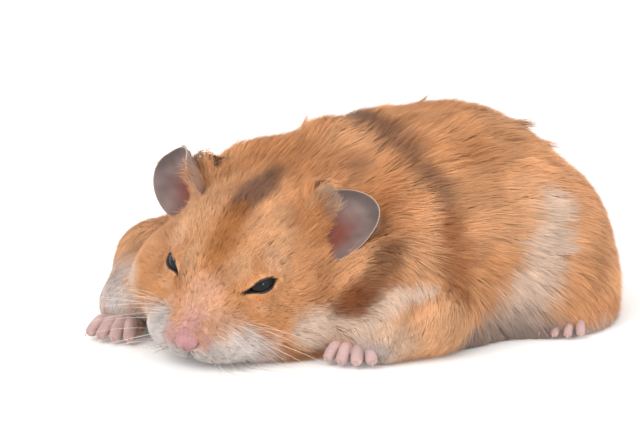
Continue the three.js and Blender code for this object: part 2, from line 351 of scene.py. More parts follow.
# -------- meshes
@dataclass
class Shell:
    """A closed mesh: points in mm, faces of four corners and faces of three."""

    points: Array
    quads: Array
    tris: Array

    def __add__(self, other: "Shell") -> "Shell":
        """Both shells in one."""
        n = len(self.points)
        return Shell(np.vstack([self.points, other.points]), np.vstack([self.quads, other.quads + n]),
                     np.vstack([self.tris, other.tris + n]))

    def faced_out(self) -> "Shell":
        """The shell with every face turned round where its signed volume is less than nothing.

        Returns:
            A shell whose faces look outwards.
        """
        split = np.vstack([self.quads[:, (0, 1, 2)], self.quads[:, (0, 2, 3)], self.tris])
        a, b, c = (self.points[split[:, i]] for i in range(3))
        if np.einsum("ij,ij->", a, np.cross(b, c)) >= 0:
            return self
        return Shell(self.points, self.quads[:, ::-1], self.tris[:, ::-1])


def merged(shells: Sequence[Shell]) -> Shell:
    """Several shells as one."""
    return sum(shells[1:], shells[0])


def rings_to_shell(rings: Array, first: Array | None = None, last: Array | None = None) -> Shell:
    """Joins rings of points, each to the next, and closes both ends to a pole, or the last ring to the first.

    Args:
        rings: points by ring and by place round the ring.
        first: the pole before the first ring, or None where the rings themselves close.
        last: the pole after the last ring.

    Returns:
        The closed shell, its faces outwards.
    """
    rows, cols = rings.shape[:2]
    index = np.arange(rows * cols).reshape(rows, cols)
    here = index if first is None else index[:-1]
    there = np.roll(index, -1, axis=0) if first is None else index[1:]
    quads = np.stack([here, np.roll(here, -1, 1), np.roll(there, -1, 1), there], -1).reshape(-1, 4)
    points = rings.reshape(-1, 3)
    tris = np.empty((0, 3), int)
    if first is not None:
        points = np.vstack([points, first, last])
        pole, other = rows * cols, rows * cols + 1
        top = np.stack([np.full(cols, pole), np.roll(index[0], -1), index[0]], -1)
        end = np.stack([np.full(cols, other), index[-1], np.roll(index[-1], -1)], -1)
        tris = np.vstack([top, end])
    return Shell(points, quads, tris).faced_out()


def tube(path: Array, radii: Array, sides: int, up: Array, flat: float = 1.0) -> Shell:
    """A closed round bar: at each path point p, the ring p + r (cos a across + flat sin a over).

    Args:
        path: the points of its middle line.
        radii: its radius at each point.
        sides: corners of a ring.
        up: the direction that `over` leans to.
        flat: height of a section as a share of its width.

    Returns:
        The shell, with a pole just beyond each end.
    """
    ahead = unit(np.gradient(path, axis=0))
    across = unit(np.cross(ahead, up))
    over = np.cross(across, ahead)
    a = np.linspace(0, 2 * math.pi, sides, endpoint=False)
    ring = np.cos(a)[None, :, None] * across[:, None] + flat * np.sin(a)[None, :, None] * over[:, None]
    rings = path[:, None] + radii[:, None, None] * ring
    return rings_to_shell(rings, path[0] - ahead[0] * radii[0] * POLE,
                          path[-1] + ahead[-1] * radii[-1] * POLE)


def put_mesh(name: str, shell: Shell, colours: Array | None = None) -> bpy.types.Object:
    """Makes a smooth-shaded object at the origin from a shell in mm.

    Args:
        name: the object's name.
        shell: its mesh.
        colours: a linear colour for each point, or None.

    Returns:
        The new object.
    """
    mesh = bpy.data.meshes.new(name)
    corners = np.concatenate([shell.quads.ravel(), shell.tris.ravel()]).astype(np.int32)
    sizes = np.concatenate([np.full(len(shell.quads), 4), np.full(len(shell.tris), 3)])
    mesh.vertices.add(len(shell.points))
    mesh.vertices.foreach_set("co", (shell.points * MM).astype(np.float32).ravel())
    mesh.loops.add(len(corners))
    mesh.loops.foreach_set("vertex_index", corners)
    mesh.polygons.add(len(sizes))
    mesh.polygons.foreach_set("loop_start", np.concatenate([[0], np.cumsum(sizes)[:-1]]).astype(np.int32))
    mesh.update(calc_edges=True)
    mesh.shade_smooth()
    if colours is not None:
        paint(mesh, colours)
    return linked(name, mesh)


def linked(name: str, data: bpy.types.ID) -> bpy.types.Object:
    """A new object in the scene that holds the data.

    Args:
        name: the object's name.
        data: a mesh, lamp or camera.

    Returns:
        The new object.
    """
    thing = bpy.data.objects.new(name, data)
    bpy.context.scene.collection.objects.link(thing)
    return thing


def paint(mesh: bpy.types.Mesh, colours: Array) -> None:
    """Stores one linear colour for each point of a mesh.

    Args:
        mesh: the mesh.
        colours: red, green and blue by point.
    """
    layer = mesh.color_attributes.new(COLOUR_NAME, "FLOAT_COLOR", "POINT")
    rgba = np.hstack([colours, np.ones((len(colours), 1))]).astype(np.float32)
    layer.data.foreach_set("color", rgba.ravel())


def points_of(mesh: bpy.types.Mesh) -> Array:
    """The points of a mesh, in mm.

    Args:
        mesh: the mesh.

    Returns:
        One point for each vertex.
    """
    flat = np.empty(len(mesh.vertices) * 3, np.float32)
    mesh.vertices.foreach_get("co", flat)
    return flat.reshape(-1, 3).astype(float) / MM


def united(name: str, shells: Sequence[Shell]) -> bpy.types.Object:
    """The union of closed shells as one mesh.

    Args:
        name: the name of the new object.
        shells: the shells, mm.

    Returns:
        One object with one closed mesh.
    """
    pieces = [put_mesh(f"{name}_{i}", shell) for i, shell in enumerate(shells)]
    for other in pieces[1:]:
        join = pieces[0].modifiers.new("join", "BOOLEAN")
        join.operation, join.solver, join.object = "UNION", "MANIFOLD", other
    ready = pieces[0].evaluated_get(bpy.context.evaluated_depsgraph_get())
    mesh = bpy.data.meshes.new_from_object(ready)
    mesh.name = name
    mesh.shade_smooth()
    for piece in pieces:
        bpy.data.objects.remove(piece)
    return linked(name, mesh)


# -------- colours and finishes
class Tone(Enum):
    """The colours of the animal, as a screen shows them from 0 to 255."""

    ORANGE = (207, 146, 96)
    DEEP = (162, 102, 60)
    SANDY = (220, 170, 128)
    CREAM = (214, 189, 170)
    WHITE = (205, 195, 191)
    SADDLE = (122, 84, 64)
    UMBER = (130, 84, 54)
    RUST = (128, 68, 26)
    STREAK = (172, 108, 50)
    ASH = (150, 131, 122)
    TAN = (214, 166, 136)
    BLUSH = (196, 148, 138)
    ROSE = (168, 123, 123)
    PAW = (194, 162, 158)
    EAR_GREY = (120, 104, 101)
    EAR_RED = (124, 64, 52)
    EAR_DOWN = (184, 160, 144)
    LID = (14, 11, 11)
    BARE = (214, 166, 130)
    CLAW = (190, 154, 147)
    WHISKER = (222, 210, 198)
    WHISKER_ROOT = (92, 66, 56)
    EYEBALL = (40, 28, 24)
    PUPIL = (10, 9, 10)
    # painted highlight on the wings of the nose, and painted shade in the nostrils and the groove below
    NOSE_LIGHT = (226, 190, 180)
    NOSTRIL = (104, 62, 58)
    EAR_DEEP = (98, 48, 44)
    EAR_DUSK = (74, 60, 56)
    EAR_BACK = (150, 128, 118)

    @property
    def value(self) -> Array:
        """The linear colour."""
        return linear(self._value_)


EDGE = (0.45, 1.3)  # where a marking starts and ends to fade, as shares of its size
EDGE_FRAY = 0.22


@dataclass(frozen=True)
class Patch:
    """A patch of colour with a soft edge round an egg: most are markings of the coat, a few are painted
    shade.
    """

    tone: Tone
    at: Point
    radii: Point
    strength: float = 0.8
    place: Place = WORLD
    paired: bool = True

    def nearness(self, q: Array) -> Array:
        """|q - at| over the radii: 1 on the egg."""
        return np.linalg.norm((q - np.asarray(self.at)) / np.asarray(self.radii), axis=-1)

    def share(self, points: Array, wobble: Array) -> Array:
        """How much of the patch shows at each point.

        Args:
            points: where it is read, mm.
            wobble: noise that frays its edge.

        Returns:
            Shares from 0 to its strength.
        """
        q = self.place.into(points)
        k = self.nearness(q)
        if self.paired:
            k = np.minimum(k, self.nearness(q * (-1.0, 1.0, 1.0)))
        return self.strength * (1.0 - ramp(k + EDGE_FRAY * wobble, *EDGE))


@dataclass(frozen=True)
class Stripe(Patch):
    """A patch with a soft edge along a line of knots, as wide as `radii` says at each knot."""

    at: tuple[Point, ...] = ()
    radii: Row = ()

    def nearness(self, q: Array) -> Array:
        """The least over the spans of the distance to the span, over its width there.

        Args:
            q: points in the marking's own place.

        Returns:
            Distances, 1 on the edge of the stripe.
        """
        spans = []
        for a, b, first, last in zip(self.at[:-1], self.at[1:], self.radii[:-1], self.radii[1:]):
            a, b = np.asarray(a, float), np.asarray(b, float)
            t = np.clip((q - a) @ (b - a) / ((b - a) @ (b - a)), 0.0, 1.0)
            gap = np.linalg.norm(q - a - t[..., None] * (b - a), axis=-1)
            spans.append(gap / (first + (last - first) * t))
        return np.min(spans, axis=0)


# markings of the coat, with a few patches of painted shade among them
MARKINGS_AND_SHADE: tuple[Patch, ...] = (
    Patch(Tone.SANDY, (30, 6, 28), (16, 26, 14), 0.5),  # rump and loin
    Patch(Tone.SANDY, (31, -24, 18), (10, 9, 16), 0.6),  # shoulder
    Patch(Tone.SADDLE, (0, -23, 46), (12, 6, 5), 0.4, WORLD, False),  # nape
    Stripe(Tone.SADDLE, ((0, -20.5, 45.0), (7.2, -20.4, 43), (16.5, -19.4, 38.6), (22.4, -17.6, 34.0),
                         (26.0, -17.4, 29.0), (28.0, -17.6, 24.8)),
           (3.4, 3.8, 3.6, 3.4, 3.6, 3.4), 0.8),  # saddle
    Stripe(Tone.DEEP, ((26.0, -17.4, 29.0), (28.0, -17.6, 24.8), (30.4, -17.6, 19.8), (33.4, -18.4, 14.0),
                       (35.4, -18.0, 8.9)), (3.6, 4.2, 4.2, 3.8, 3.0), 0.85),  # its lower end, carried on down the flank as painted shade behind the shoulder
    Stripe(Tone.CREAM, ((29.8, 9.2, 28.1), (32.6, 5.2, 22.7), (34.0, 1.4, 16.9), (33.8, -1.1, 10.7),
                        (33.0, -3.0, 6.3)), (5.2, 6.2, 6.6, 7.4, 8.0), 0.9),  # hip flash
    Stripe(Tone.ASH, ((33, -14, 1.5), (35, -3, 3), (36, 8, 1)), (6.4, 8.0, 5.4), 0.95),  # belly fringe: grey fur, darkened along the floor as painted shade
    Patch(Tone.SANDY, (36, -29, 7), (8, 15, 8), 0.9),  # upper side of the foreleg
    Patch(Tone.CREAM, (34, -37, 5), (6, 9, 6), 0.6, WORLD, False),  # left forearm
    Stripe(Tone.CREAM, ((21.5, -49, 8), (25.0, -45, 8.5), (27.9, -42.6, 8.4), (30.4, -38.5, 12.7),
                        (31.8, -31.9, 15.7), (33.4, -25.5, 16.6)),
           (4.2, 4.6, 4.4, 3.6, 3.2, 2.4), 0.9),  # neck stripe
    Stripe(Tone.UMBER, ((23, -29.4, 27), (24.1, -30.7, 23.9), (28.2, -36.6, 18.1), (27.3, -41.5, 14.3),
                        (25.0, -45.0, 11.4)), (2.0, 3.8, 3.8, 3.0, 2.0), 0.85),  # behind the ear
    Patch(Tone.RUST, (27.3, -41.0, 13.8), (3.4, 5.0, 3.6), 0.8),  # its lower end
    Patch(Tone.SANDY, (7.5, -4, 12), (5.5, 9, 7), 0.55, HEAD),  # brow
    Patch(Tone.ASH, (16.4, 8.6, 14.0), (3.0, 3.0, 4.2), 0.55, HEAD),  # before the ear
    Patch(Tone.DEEP, (2.0, 16.5, 18.5), (7.5, 7.0, 7.0), 0.5, HEAD, False),  # back of the crown
    Stripe(Tone.SADDLE, ((1.0, 11.0, 18.4), (0.9, 6.0, 17.4), (0.8, 1.5, 16.8), (0.4, -4.0, 15.0)),
           (2.8, 4.0, 4.4, 3.2), 0.95, HEAD, False),  # crown
    Stripe(Tone.STREAK, ((0.3, -5.0, 14.4), (-0.4, -8.2, 12.4), (0, -13.1, 9.2), (0.2, -17.0, 5.6)),
           (2.8, 2.8, 2.8, 2.0), 0.65, HEAD, False),  # streak down the forehead
    Patch(Tone.TAN, (0, -20.0, -1), (5.0, 6.5, 6), 0.85, HEAD),  # bridge
    Patch(Tone.SANDY, (5.6, -13.5, 5.8), (3.0, 4.0, 3.4), 0.75, HEAD),  # between the eyes
    Patch(Tone.BARE, (11.5, -7.2, 6.2), (4.4, 3.6, 2.4), 0.75, HEAD),  # upper lid
    Patch(Tone.BARE, (9.4, -11.5, -2.6), (4.2, 3.0, 1.6), 0.5, HEAD),  # lower lid
    Patch(Tone.CREAM, (22.5, -8.5, -6.8), (5.0, 6.0, 4.6), 0.8, HEAD),  # cheek flash
    Patch(Tone.TAN, (7.8, -19.5, -5.0), (4.0, 4.5, 3.4), 0.7, HEAD),  # whisker bed
    Patch(Tone.WHITE, (8.4, -18.5, -11.0), (9.8, 10.5, 6.2), 0.97, HEAD),  # whisker pads
    Patch(Tone.WHITE, (0, -22.5, -12.6), (5.0, 4.5, 3.4), 0.95, HEAD),  # lip
    Patch(Tone.UMBER, (0, -23.5, -12.4), (0.6, 3.4, 2.2), 0.9, HEAD, False),  # the lip's parting, darkened as painted shade in the cleft
    Patch(Tone.WHITE, (0, -14, -13.5), (9, 12, 4.5), 0.9, HEAD),  # chin
    Patch(Tone.TAN, (5.0, -22.5, -5.5), (3.0, 3.0, 2.6), 0.8, HEAD),  # above the nostril
    Patch(Tone.WHITE, (5.6, -23.5, -9.8), (3.4, 3.0, 3.6), 0.9, HEAD),  # beside the nostril
    Patch(Tone.WHITE, (-6.8, -22.6, -6.2), (2.2, 3.4, 3.6), 0.9, HEAD, False),  # right pad
    Patch(Tone.BLUSH, (3.6, -23.4, -8.0), (2.2, 2.4, 2.6), 0.85, HEAD),  # wing of the nose
    Patch(Tone.BLUSH, (0, -22.8, -5.4), (3.4, 4.4, 4.2), 0.9, HEAD),  # above the nose
    Patch(Tone.WHITE, (-21, -66, 7), (13, 14, 9), 0.95, WORLD, False),  # right forearm
    Patch(Tone.WHITE, (31, -41, 2.0), (7, 7, 4.5), 0.85, WORLD, False),  # left wrist
    Patch(Tone.ASH, (33, -40, 3.0), (5, 5, 3.5), 0.35, WORLD, False),  # its under side, darkened as painted shade under the wrist
    Patch(Tone.SANDY, (-26, -58, 15), (9, 9, 6), 0.7, WORLD, False),  # right elbow
    Patch(Tone.SADDLE, (7.3, -28.8, 35.8), (5, 4, 4), 0.4, WORLD, False),  # nape, behind the left ear
    Patch(Tone.UMBER, (21.7, -49.0, 1.8), (3.0, 3.4, 1.6), 0.6, WORLD, False),  # painted shadow under the left cheek
    Patch(Tone.WHITE, (32, 15, 0), (9, 11, 5.5), 0.7),  # round the hind foot
    Patch(Tone.BLUSH, (1.5, 43, 4), (4, 4.5, 4), 0.85, WORLD, False),  # tail
)


def coat_colour(points: Array) -> Array:
    """The colour of the coat: orange, with each marking, and each patch of painted shade, laid over it in
    turn by its share.

    Args:
        points: where it is read, mm.

    Returns:
        Linear colours.
    """
    wobble = 0.6 * ripple(points, 6.0, 3) + 0.4 * ripple(points, 2.2, 4)
    tint = 0.5 + 0.5 * ripple(points, 11.0, 5)
    colour = mixed(Tone.ORANGE.value[None], Tone.SANDY.value, 0.5 * tint)
    colour = mixed(colour, Tone.DEEP.value, 0.45 * np.clip(ripple(points * (1.4, 0.6, 1.4), 6.5, 6), 0, 1))
    for overlay in MARKINGS_AND_SHADE:
        colour = mixed(colour, overlay.tone.value, overlay.share(points, wobble))
    for eye in EYES:
        near = eye.gap(points) < eye.radius + 3.0
        colour = mixed(colour, Tone.LID.value, near * (1 - ramp(eye.slit(points), 1.1, 1.35)))
    return colour


def settle(node: bpy.types.Node, values: dict[str, float | Sequence[float]]) -> None:
    """Sets sockets of a node.

    Args:
        node: whose inputs are set.
        values: each value by its socket's name.
    """
    for name, value in values.items():
        node.inputs[name].default_value = value


@dataclass(frozen=True)
class Finish:
    """A painted finish: the mesh's own colours, broken up by fine noise, over a soft or glossy surface."""

    name: str
    roughness: float
    specular: float = 0.3
    sheen: float = 0.0
    subsurface: float = 0.0
    grain_size: float = 0.4  # mm
    grain: float = 0.12  # how far the noise lightens and darkens
    bump: float = 0.0  # mm

    def material(self) -> bpy.types.Material:
        """The material, made of nodes that read Object coordinates and the colour attribute.

        Returns:
            The new material.
        """
        material = bpy.data.materials.new(self.name)
        material.use_nodes = True
        nodes, links = material.node_tree.nodes, material.node_tree.links
        shader = nodes["Principled BSDF"]
        settle(shader, {
            "Roughness": self.roughness,
            "Specular IOR Level": self.specular,
            "Sheen Weight": self.sheen,
            "Sheen Roughness": 0.4,
            "Subsurface Weight": self.subsurface,
            "Subsurface Radius": (1.0, 0.4, 0.25),
            "Subsurface Scale": 0.8 * MM,
        })
        colour = nodes.new("ShaderNodeAttribute")
        colour.attribute_name = COLOUR_NAME
        place = nodes.new("ShaderNodeTexCoord")
        noise = nodes.new("ShaderNodeTexNoise")
        settle(noise, {"Scale": 1.0 / (self.grain_size * MM), "Detail": 3.0})
        links.new(place.outputs["Object"], noise.inputs["Vector"])
        spread = nodes.new("ShaderNodeMapRange")
        settle(spread, {"To Min": 1.0 - self.grain, "To Max": 1.0 + self.grain})
        links.new(noise.outputs["Fac"], spread.inputs["Value"])
        scaled = nodes.new("ShaderNodeVectorMath")
        scaled.operation = "SCALE"
        links.new(colour.outputs["Color"], scaled.inputs["Vector"])
        links.new(spread.outputs["Result"], scaled.inputs["Scale"])
        links.new(scaled.outputs["Vector"], shader.inputs["Base Color"])
        if self.bump:
            relief = nodes.new("ShaderNodeBump")
            settle(relief, {"Distance": self.bump * MM})
            links.new(noise.outputs["Fac"], relief.inputs["Height"])
            links.new(relief.outputs["Normal"], shader.inputs["Normal"])
        return material


HAIR_FINISH = Finish("hair", roughness=0.62, specular=0.25, sheen=0.1, grain_size=1.6, grain=0.10)
SKIN_FINISH = Finish("skin_under_the_coat", roughness=0.7, grain_size=0.3, grain=0.2, bump=0.12, sheen=0.2)
EAR_FINISH = Finish("ear_skin", roughness=0.6, subsurface=0.25, grain_size=0.5, grain=0.12, bump=0.04)
NOSE_FINISH = Finish("nose_skin", roughness=0.42, subsurface=0.15, grain_size=0.16, grain=0.07, bump=0.05)
LID_FINISH = Finish("eyelid_skin", roughness=0.35, specular=0.5, grain_size=0.2, grain=0.1, bump=0.03)
EYE_FINISH = Finish("wet_eye", roughness=0.08, specular=0.26, grain_size=0.8, grain=0.2)
CLAW_FINISH = Finish("claw_horn", roughness=0.3, specular=0.5, subsurface=0.3, grain_size=0.3, grain=0.06)
WHISKER_FINISH = Finish("whisker", roughness=0.4, specular=0.5, grain_size=2.0, grain=0.08)


def dress(thing: bpy.types.Object, finish: Finish) -> bpy.types.Object:
    """Gives a piece its material, its slot and the body it rides on.

    Args:
        thing: the piece.
        finish: its finish.

    Returns:
        The same piece.
    """
    material = bpy.data.materials.get(finish.name) or finish.material()
    thing.data.materials.clear()
    thing.data.materials.append(material)
    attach(thing, BODY_NAME)
    LOG.info("%s: %d faces", thing.name, len(thing.data.polygons))
    return thing


# -------- what the skin is
RAY_STEPS = 34
RAY_SHARE = 0.75  # of the near distance, walked at each step
RAY_REACH = (0.3, 70.0)  # mm


def fan(ground: "Ground") -> tuple[Array, Array]:
    """The skin of a ground met by rays that fan out from its line, in rows from its end to its start.

    A ray at the angles a and b runs (sin a cos b) across, (cos a) ahead and (sin a sin b) up, from the place
    (cos a + 1) / 2 on the line. It walks out by a share of the skin's near distance until that is nothing.

    Args:
        ground: whose skin is met.

    Returns:
        Points by ring and place round it, then the two poles.
    """
    line, rows, cols = ground.line, ground.rows, ground.cols
    a = np.concatenate([[1e-4], (np.arange(rows) + 0.7) / (rows + 0.4) * math.pi, [math.pi - 1e-4]])
    b = np.arange(cols) / cols * 2 * math.pi
    station = (np.cos(a) + 1) / 2
    start = smooth_path(line, station)
    after, before = (smooth_path(line, np.clip(station + step, 0, 1)) for step in (0.01, -0.01))
    ahead = unit(after - before)
    across = unit(np.stack([ahead[:, 1], -ahead[:, 0], np.zeros(len(a))], -1))
    over = np.cross(across, ahead)
    round_it = np.cos(b)[None, :, None] * across[:, None] + np.sin(b)[None, :, None] * over[:, None]
    rays = (np.sin(a)[:, None, None] * round_it + np.cos(a)[:, None, None] * ahead[:, None]).reshape(-1, 3)
    origin = np.repeat(start, cols, axis=0)
    far = np.full(len(rays), 0.5)
    for _ in range(RAY_STEPS):
        far = np.clip(far - RAY_SHARE * ground.skin(origin + far[:, None] * rays), *RAY_REACH)
    points = (origin + far[:, None] * rays).reshape(rows + 2, cols, 3)
    points[..., 2] = np.maximum(points[..., 2], ground.belly)
    return points[1:-1], points[(0, -1), 0]


@dataclass(frozen=True)
class Growth:
    """How the hair changes over the body, told at stations: mm from the tip of the nose."""

    station: Row = (0.0, 8.0, 20.0, 36.0, 56.0, 90.0)
    depth: Row = (0.25, 0.6, 1.0, 1.7, 2.8, 3.2)
    length: Row = (0.9, 1.7, 2.8, 4.6, 7.8, 8.8)
    spread: Row = (0.32, 0.36, 0.43, 0.52, 0.66, 0.72)  # half-width of a lock at the skin
    width: Row = (0.045, 0.05, 0.055, 0.065, 0.08, 0.085)  # half-width of a hair
    gather: Row = (0.2, 0.25, 0.3, 0.35, 0.45, 0.5)  # share by which a lock closes at its tip

    def read(self, name: str, station: Array) -> Array:
        """The value of one of the rows above at each station."""
        return np.interp(station, self.station, getattr(self, name))


@dataclass(frozen=True)
class Eye:
    """One eye: where it is, how big, and how its slit lies."""

    side: Side
    at: Array
    radius: float
    yaw: float = 43.0
    pitch: float = -14.0
    slant: float = -19.0  # the outer corner is the higher one
    long: float = 1.0  # half of the slit's length, radians round the ball
    short: float = 0.29
    drawn: float = 0.05

    @classmethod
    def of(cls, side: Side) -> "Eye":
        """The eye that fills the node's box."""
        low, high = (np.array(corner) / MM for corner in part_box(f"eye_{side.word}"))
        return cls(side, (low + high) / 2, float((high - low).mean()) / 2)

    @property
    def axes(self) -> Array:
        """Columns: along the slit, into the head, across the slit."""
        sign = self.side.value
        return HEAD.axes @ turn(sign * self.yaw, self.pitch, sign * self.slant)

    def on_ball(self, along: Array, over: Array, radius: Array) -> Array:
        """The point at the angles along and over on a ball: out cos k + e sin k, with k = |(along, over)|.

        Args:
            along: radians along the slit.
            over: radians across it.
            radius: how far from the eye's middle, mm.

        Returns:
            Points in the world, mm.
        """
        k = np.hypot(along, over)
        ease = np.where(k > 1e-6, np.sin(k) / np.maximum(k, 1e-6), 1.0)
        way = np.stack([along * ease, -np.cos(k), over * ease], -1)
        return self.at + radius[..., None] * (way @ self.axes.T)

    def gap(self, points: Array) -> Array:
        """Distance from the eye's middle."""
        return np.linalg.norm(points - self.at, axis=-1)

    def angles(self, points: Array) -> tuple[Array, Array]:
        """The angles along and over of points about the eye, the reverse of on_ball.

        Args:
            points: where it is read, mm.

        Returns:
            The angles along and over, in radians.
        """
        way = unit(points - self.at) @ self.axes
        k = np.arccos(np.clip(-way[..., 1], -1, 1))
        flat = np.maximum(np.hypot(way[..., 0], way[..., 2]), 1e-9)
        return way[..., 0] / flat * k, way[..., 2] / flat * k

    def slit(self, points: Array) -> Array:
        """How far points are from the slit's middle, as a share of its half-sizes: 1 on its pointed rim.

        The half towards the nose is longer by the share `drawn`.

        Args:
            points: where it is read, mm.

        Returns:
            Shares, less than 1 inside the slit.
        """
        along, over = self.angles(points)
        nasal = np.clip(-self.side.value * along / self.long, 0, 1)
        s = np.clip(np.abs(along) / self.long / (1 + self.drawn * nasal), 0, 3)
        return np.maximum(s, s**2 + np.abs(over) / self.short)


EYES = tuple(Eye.of(side) for side in Side)
NOSE_TIP = HEAD.out(NOSE_AT)


class Ground:
    """A surface that hair grows on: an outline to reach, a skin under it, and the way the hair lies."""

    growth: Growth = Growth()
    belly: float = 0.7  # mm, the lowest that its skin comes
    line: Sequence[Point] = SPINE  # that its skin is met from
    rows: int = 0
    cols: int = 0

    def flesh(self, points: Array) -> Array:
        """Near distance to where its own hair ends."""
        raise NotImplementedError

    def station(self, points: Array) -> Array:
        """Which station of the growth a point is at."""
        return np.linalg.norm(points - NOSE_TIP, axis=-1)

    def own_depth(self, points: Array) -> Array:
        """How deep under the outline its skin lies."""
        return self.growth.read("depth", self.station(points))

    def own_lie(self, points: Array) -> Array:
        """Roughly the way that its hair points."""
        raise NotImplementedError

    def outline(self, points: Array) -> Array:
        """Near distance to where the hair ends."""
        return self.flesh(points)

    def depth(self, points: Array) -> Array:
        """How deep under the outline the skin lies."""
        return self.own_depth(points)

    def lie(self, points: Array) -> Array:
        """Roughly the way that the hair points."""
        return self.own_lie(points)

    def skin(self, points: Array) -> Array:
        """Near distance to the skin."""
        return self.outline(points) + self.depth(points)

    def bare(self, points: Array) -> Array:
        """Where no hair grows."""
        return np.zeros(points.shape[:-1], bool)

    def outward(self, points: Array) -> Array:
        """The unit slope of the outline's field, from steps of 0.05 mm.

        Args:
            points: where it is read, mm.

        Returns:
            One unit vector for each point.
        """
        here = self.outline(points)
        step = 0.05
        slope = [self.outline(points + step * axis) - here for axis in np.eye(3)]
        return unit(np.stack(slope, -1))


class Joined(Ground):
    """A ground that runs softly into its neighbours in BODY: they share an outline, a depth and a lie."""

    softness: float = 2.6
    cover: float = 3.0  # mm off its own flesh that its share of the skin ends
    sunk: float = 0.6  # mm by which its skin is deeper where a neighbour has it
    film: float = 0.02  # mm above its lowest within which its skin counts as lying on the floor

    def outline(self, points: Array) -> Array:
        """All the grounds of the body, run together."""
        return melt([ground.flesh(points) for ground in BODY], self.softness)

    def shares(self, points: Array) -> Array:
        """How much each ground counts at each point: exp(-distance / softness), over their sum.

        Args:
            points: where it is read, mm.

        Returns:
            Shares by ground and point, whose sum is 1.
        """
        gaps = np.stack([ground.flesh(points) for ground in BODY])
        weights = np.exp(-(gaps - gaps.min(axis=0)) / self.softness)
        return weights / weights.sum(axis=0)

    def depth(self, points: Array) -> Array:
        """The grounds' depths by their shares."""
        return (self.shares(points) * np.stack([ground.own_depth(points) for ground in BODY])).sum(axis=0)

    def lie(self, points: Array) -> Array:
        """The grounds' lies by their shares."""
        ways = np.stack([ground.own_lie(points) for ground in BODY])
        return unit((self.shares(points)[..., None] * ways).sum(axis=0))

    def skin(self, points: Array) -> Array:
        """The shared skin, a little deeper where a neighbour has it, and cut off away from its own flesh.

        Args:
            points: where it is read, mm.

        Returns:
            One near distance for each point.
        """
        index = [ground is self for ground in BODY].index(True)
        shares = self.shares(points)
        depths = np.stack([ground.own_depth(points) for ground in BODY])
        flesh = self.outline(points) + (shares * depths).sum(axis=0) + self.sunk * (1 - shares[index])
        return np.maximum(flesh, self.flesh(points) - self.cover)

    def taken(self, points: Array) -> Array:
        """Where a neighbour is nearer."""
        gaps = np.stack([ground.flesh(points) for ground in BODY])
        return gaps.min(axis=0) < self.flesh(points) - 1e-6

    def lying(self, points: Array) -> Array:
        """Where its skin lies on the floor."""
        return points[..., 2] < self.belly + self.film


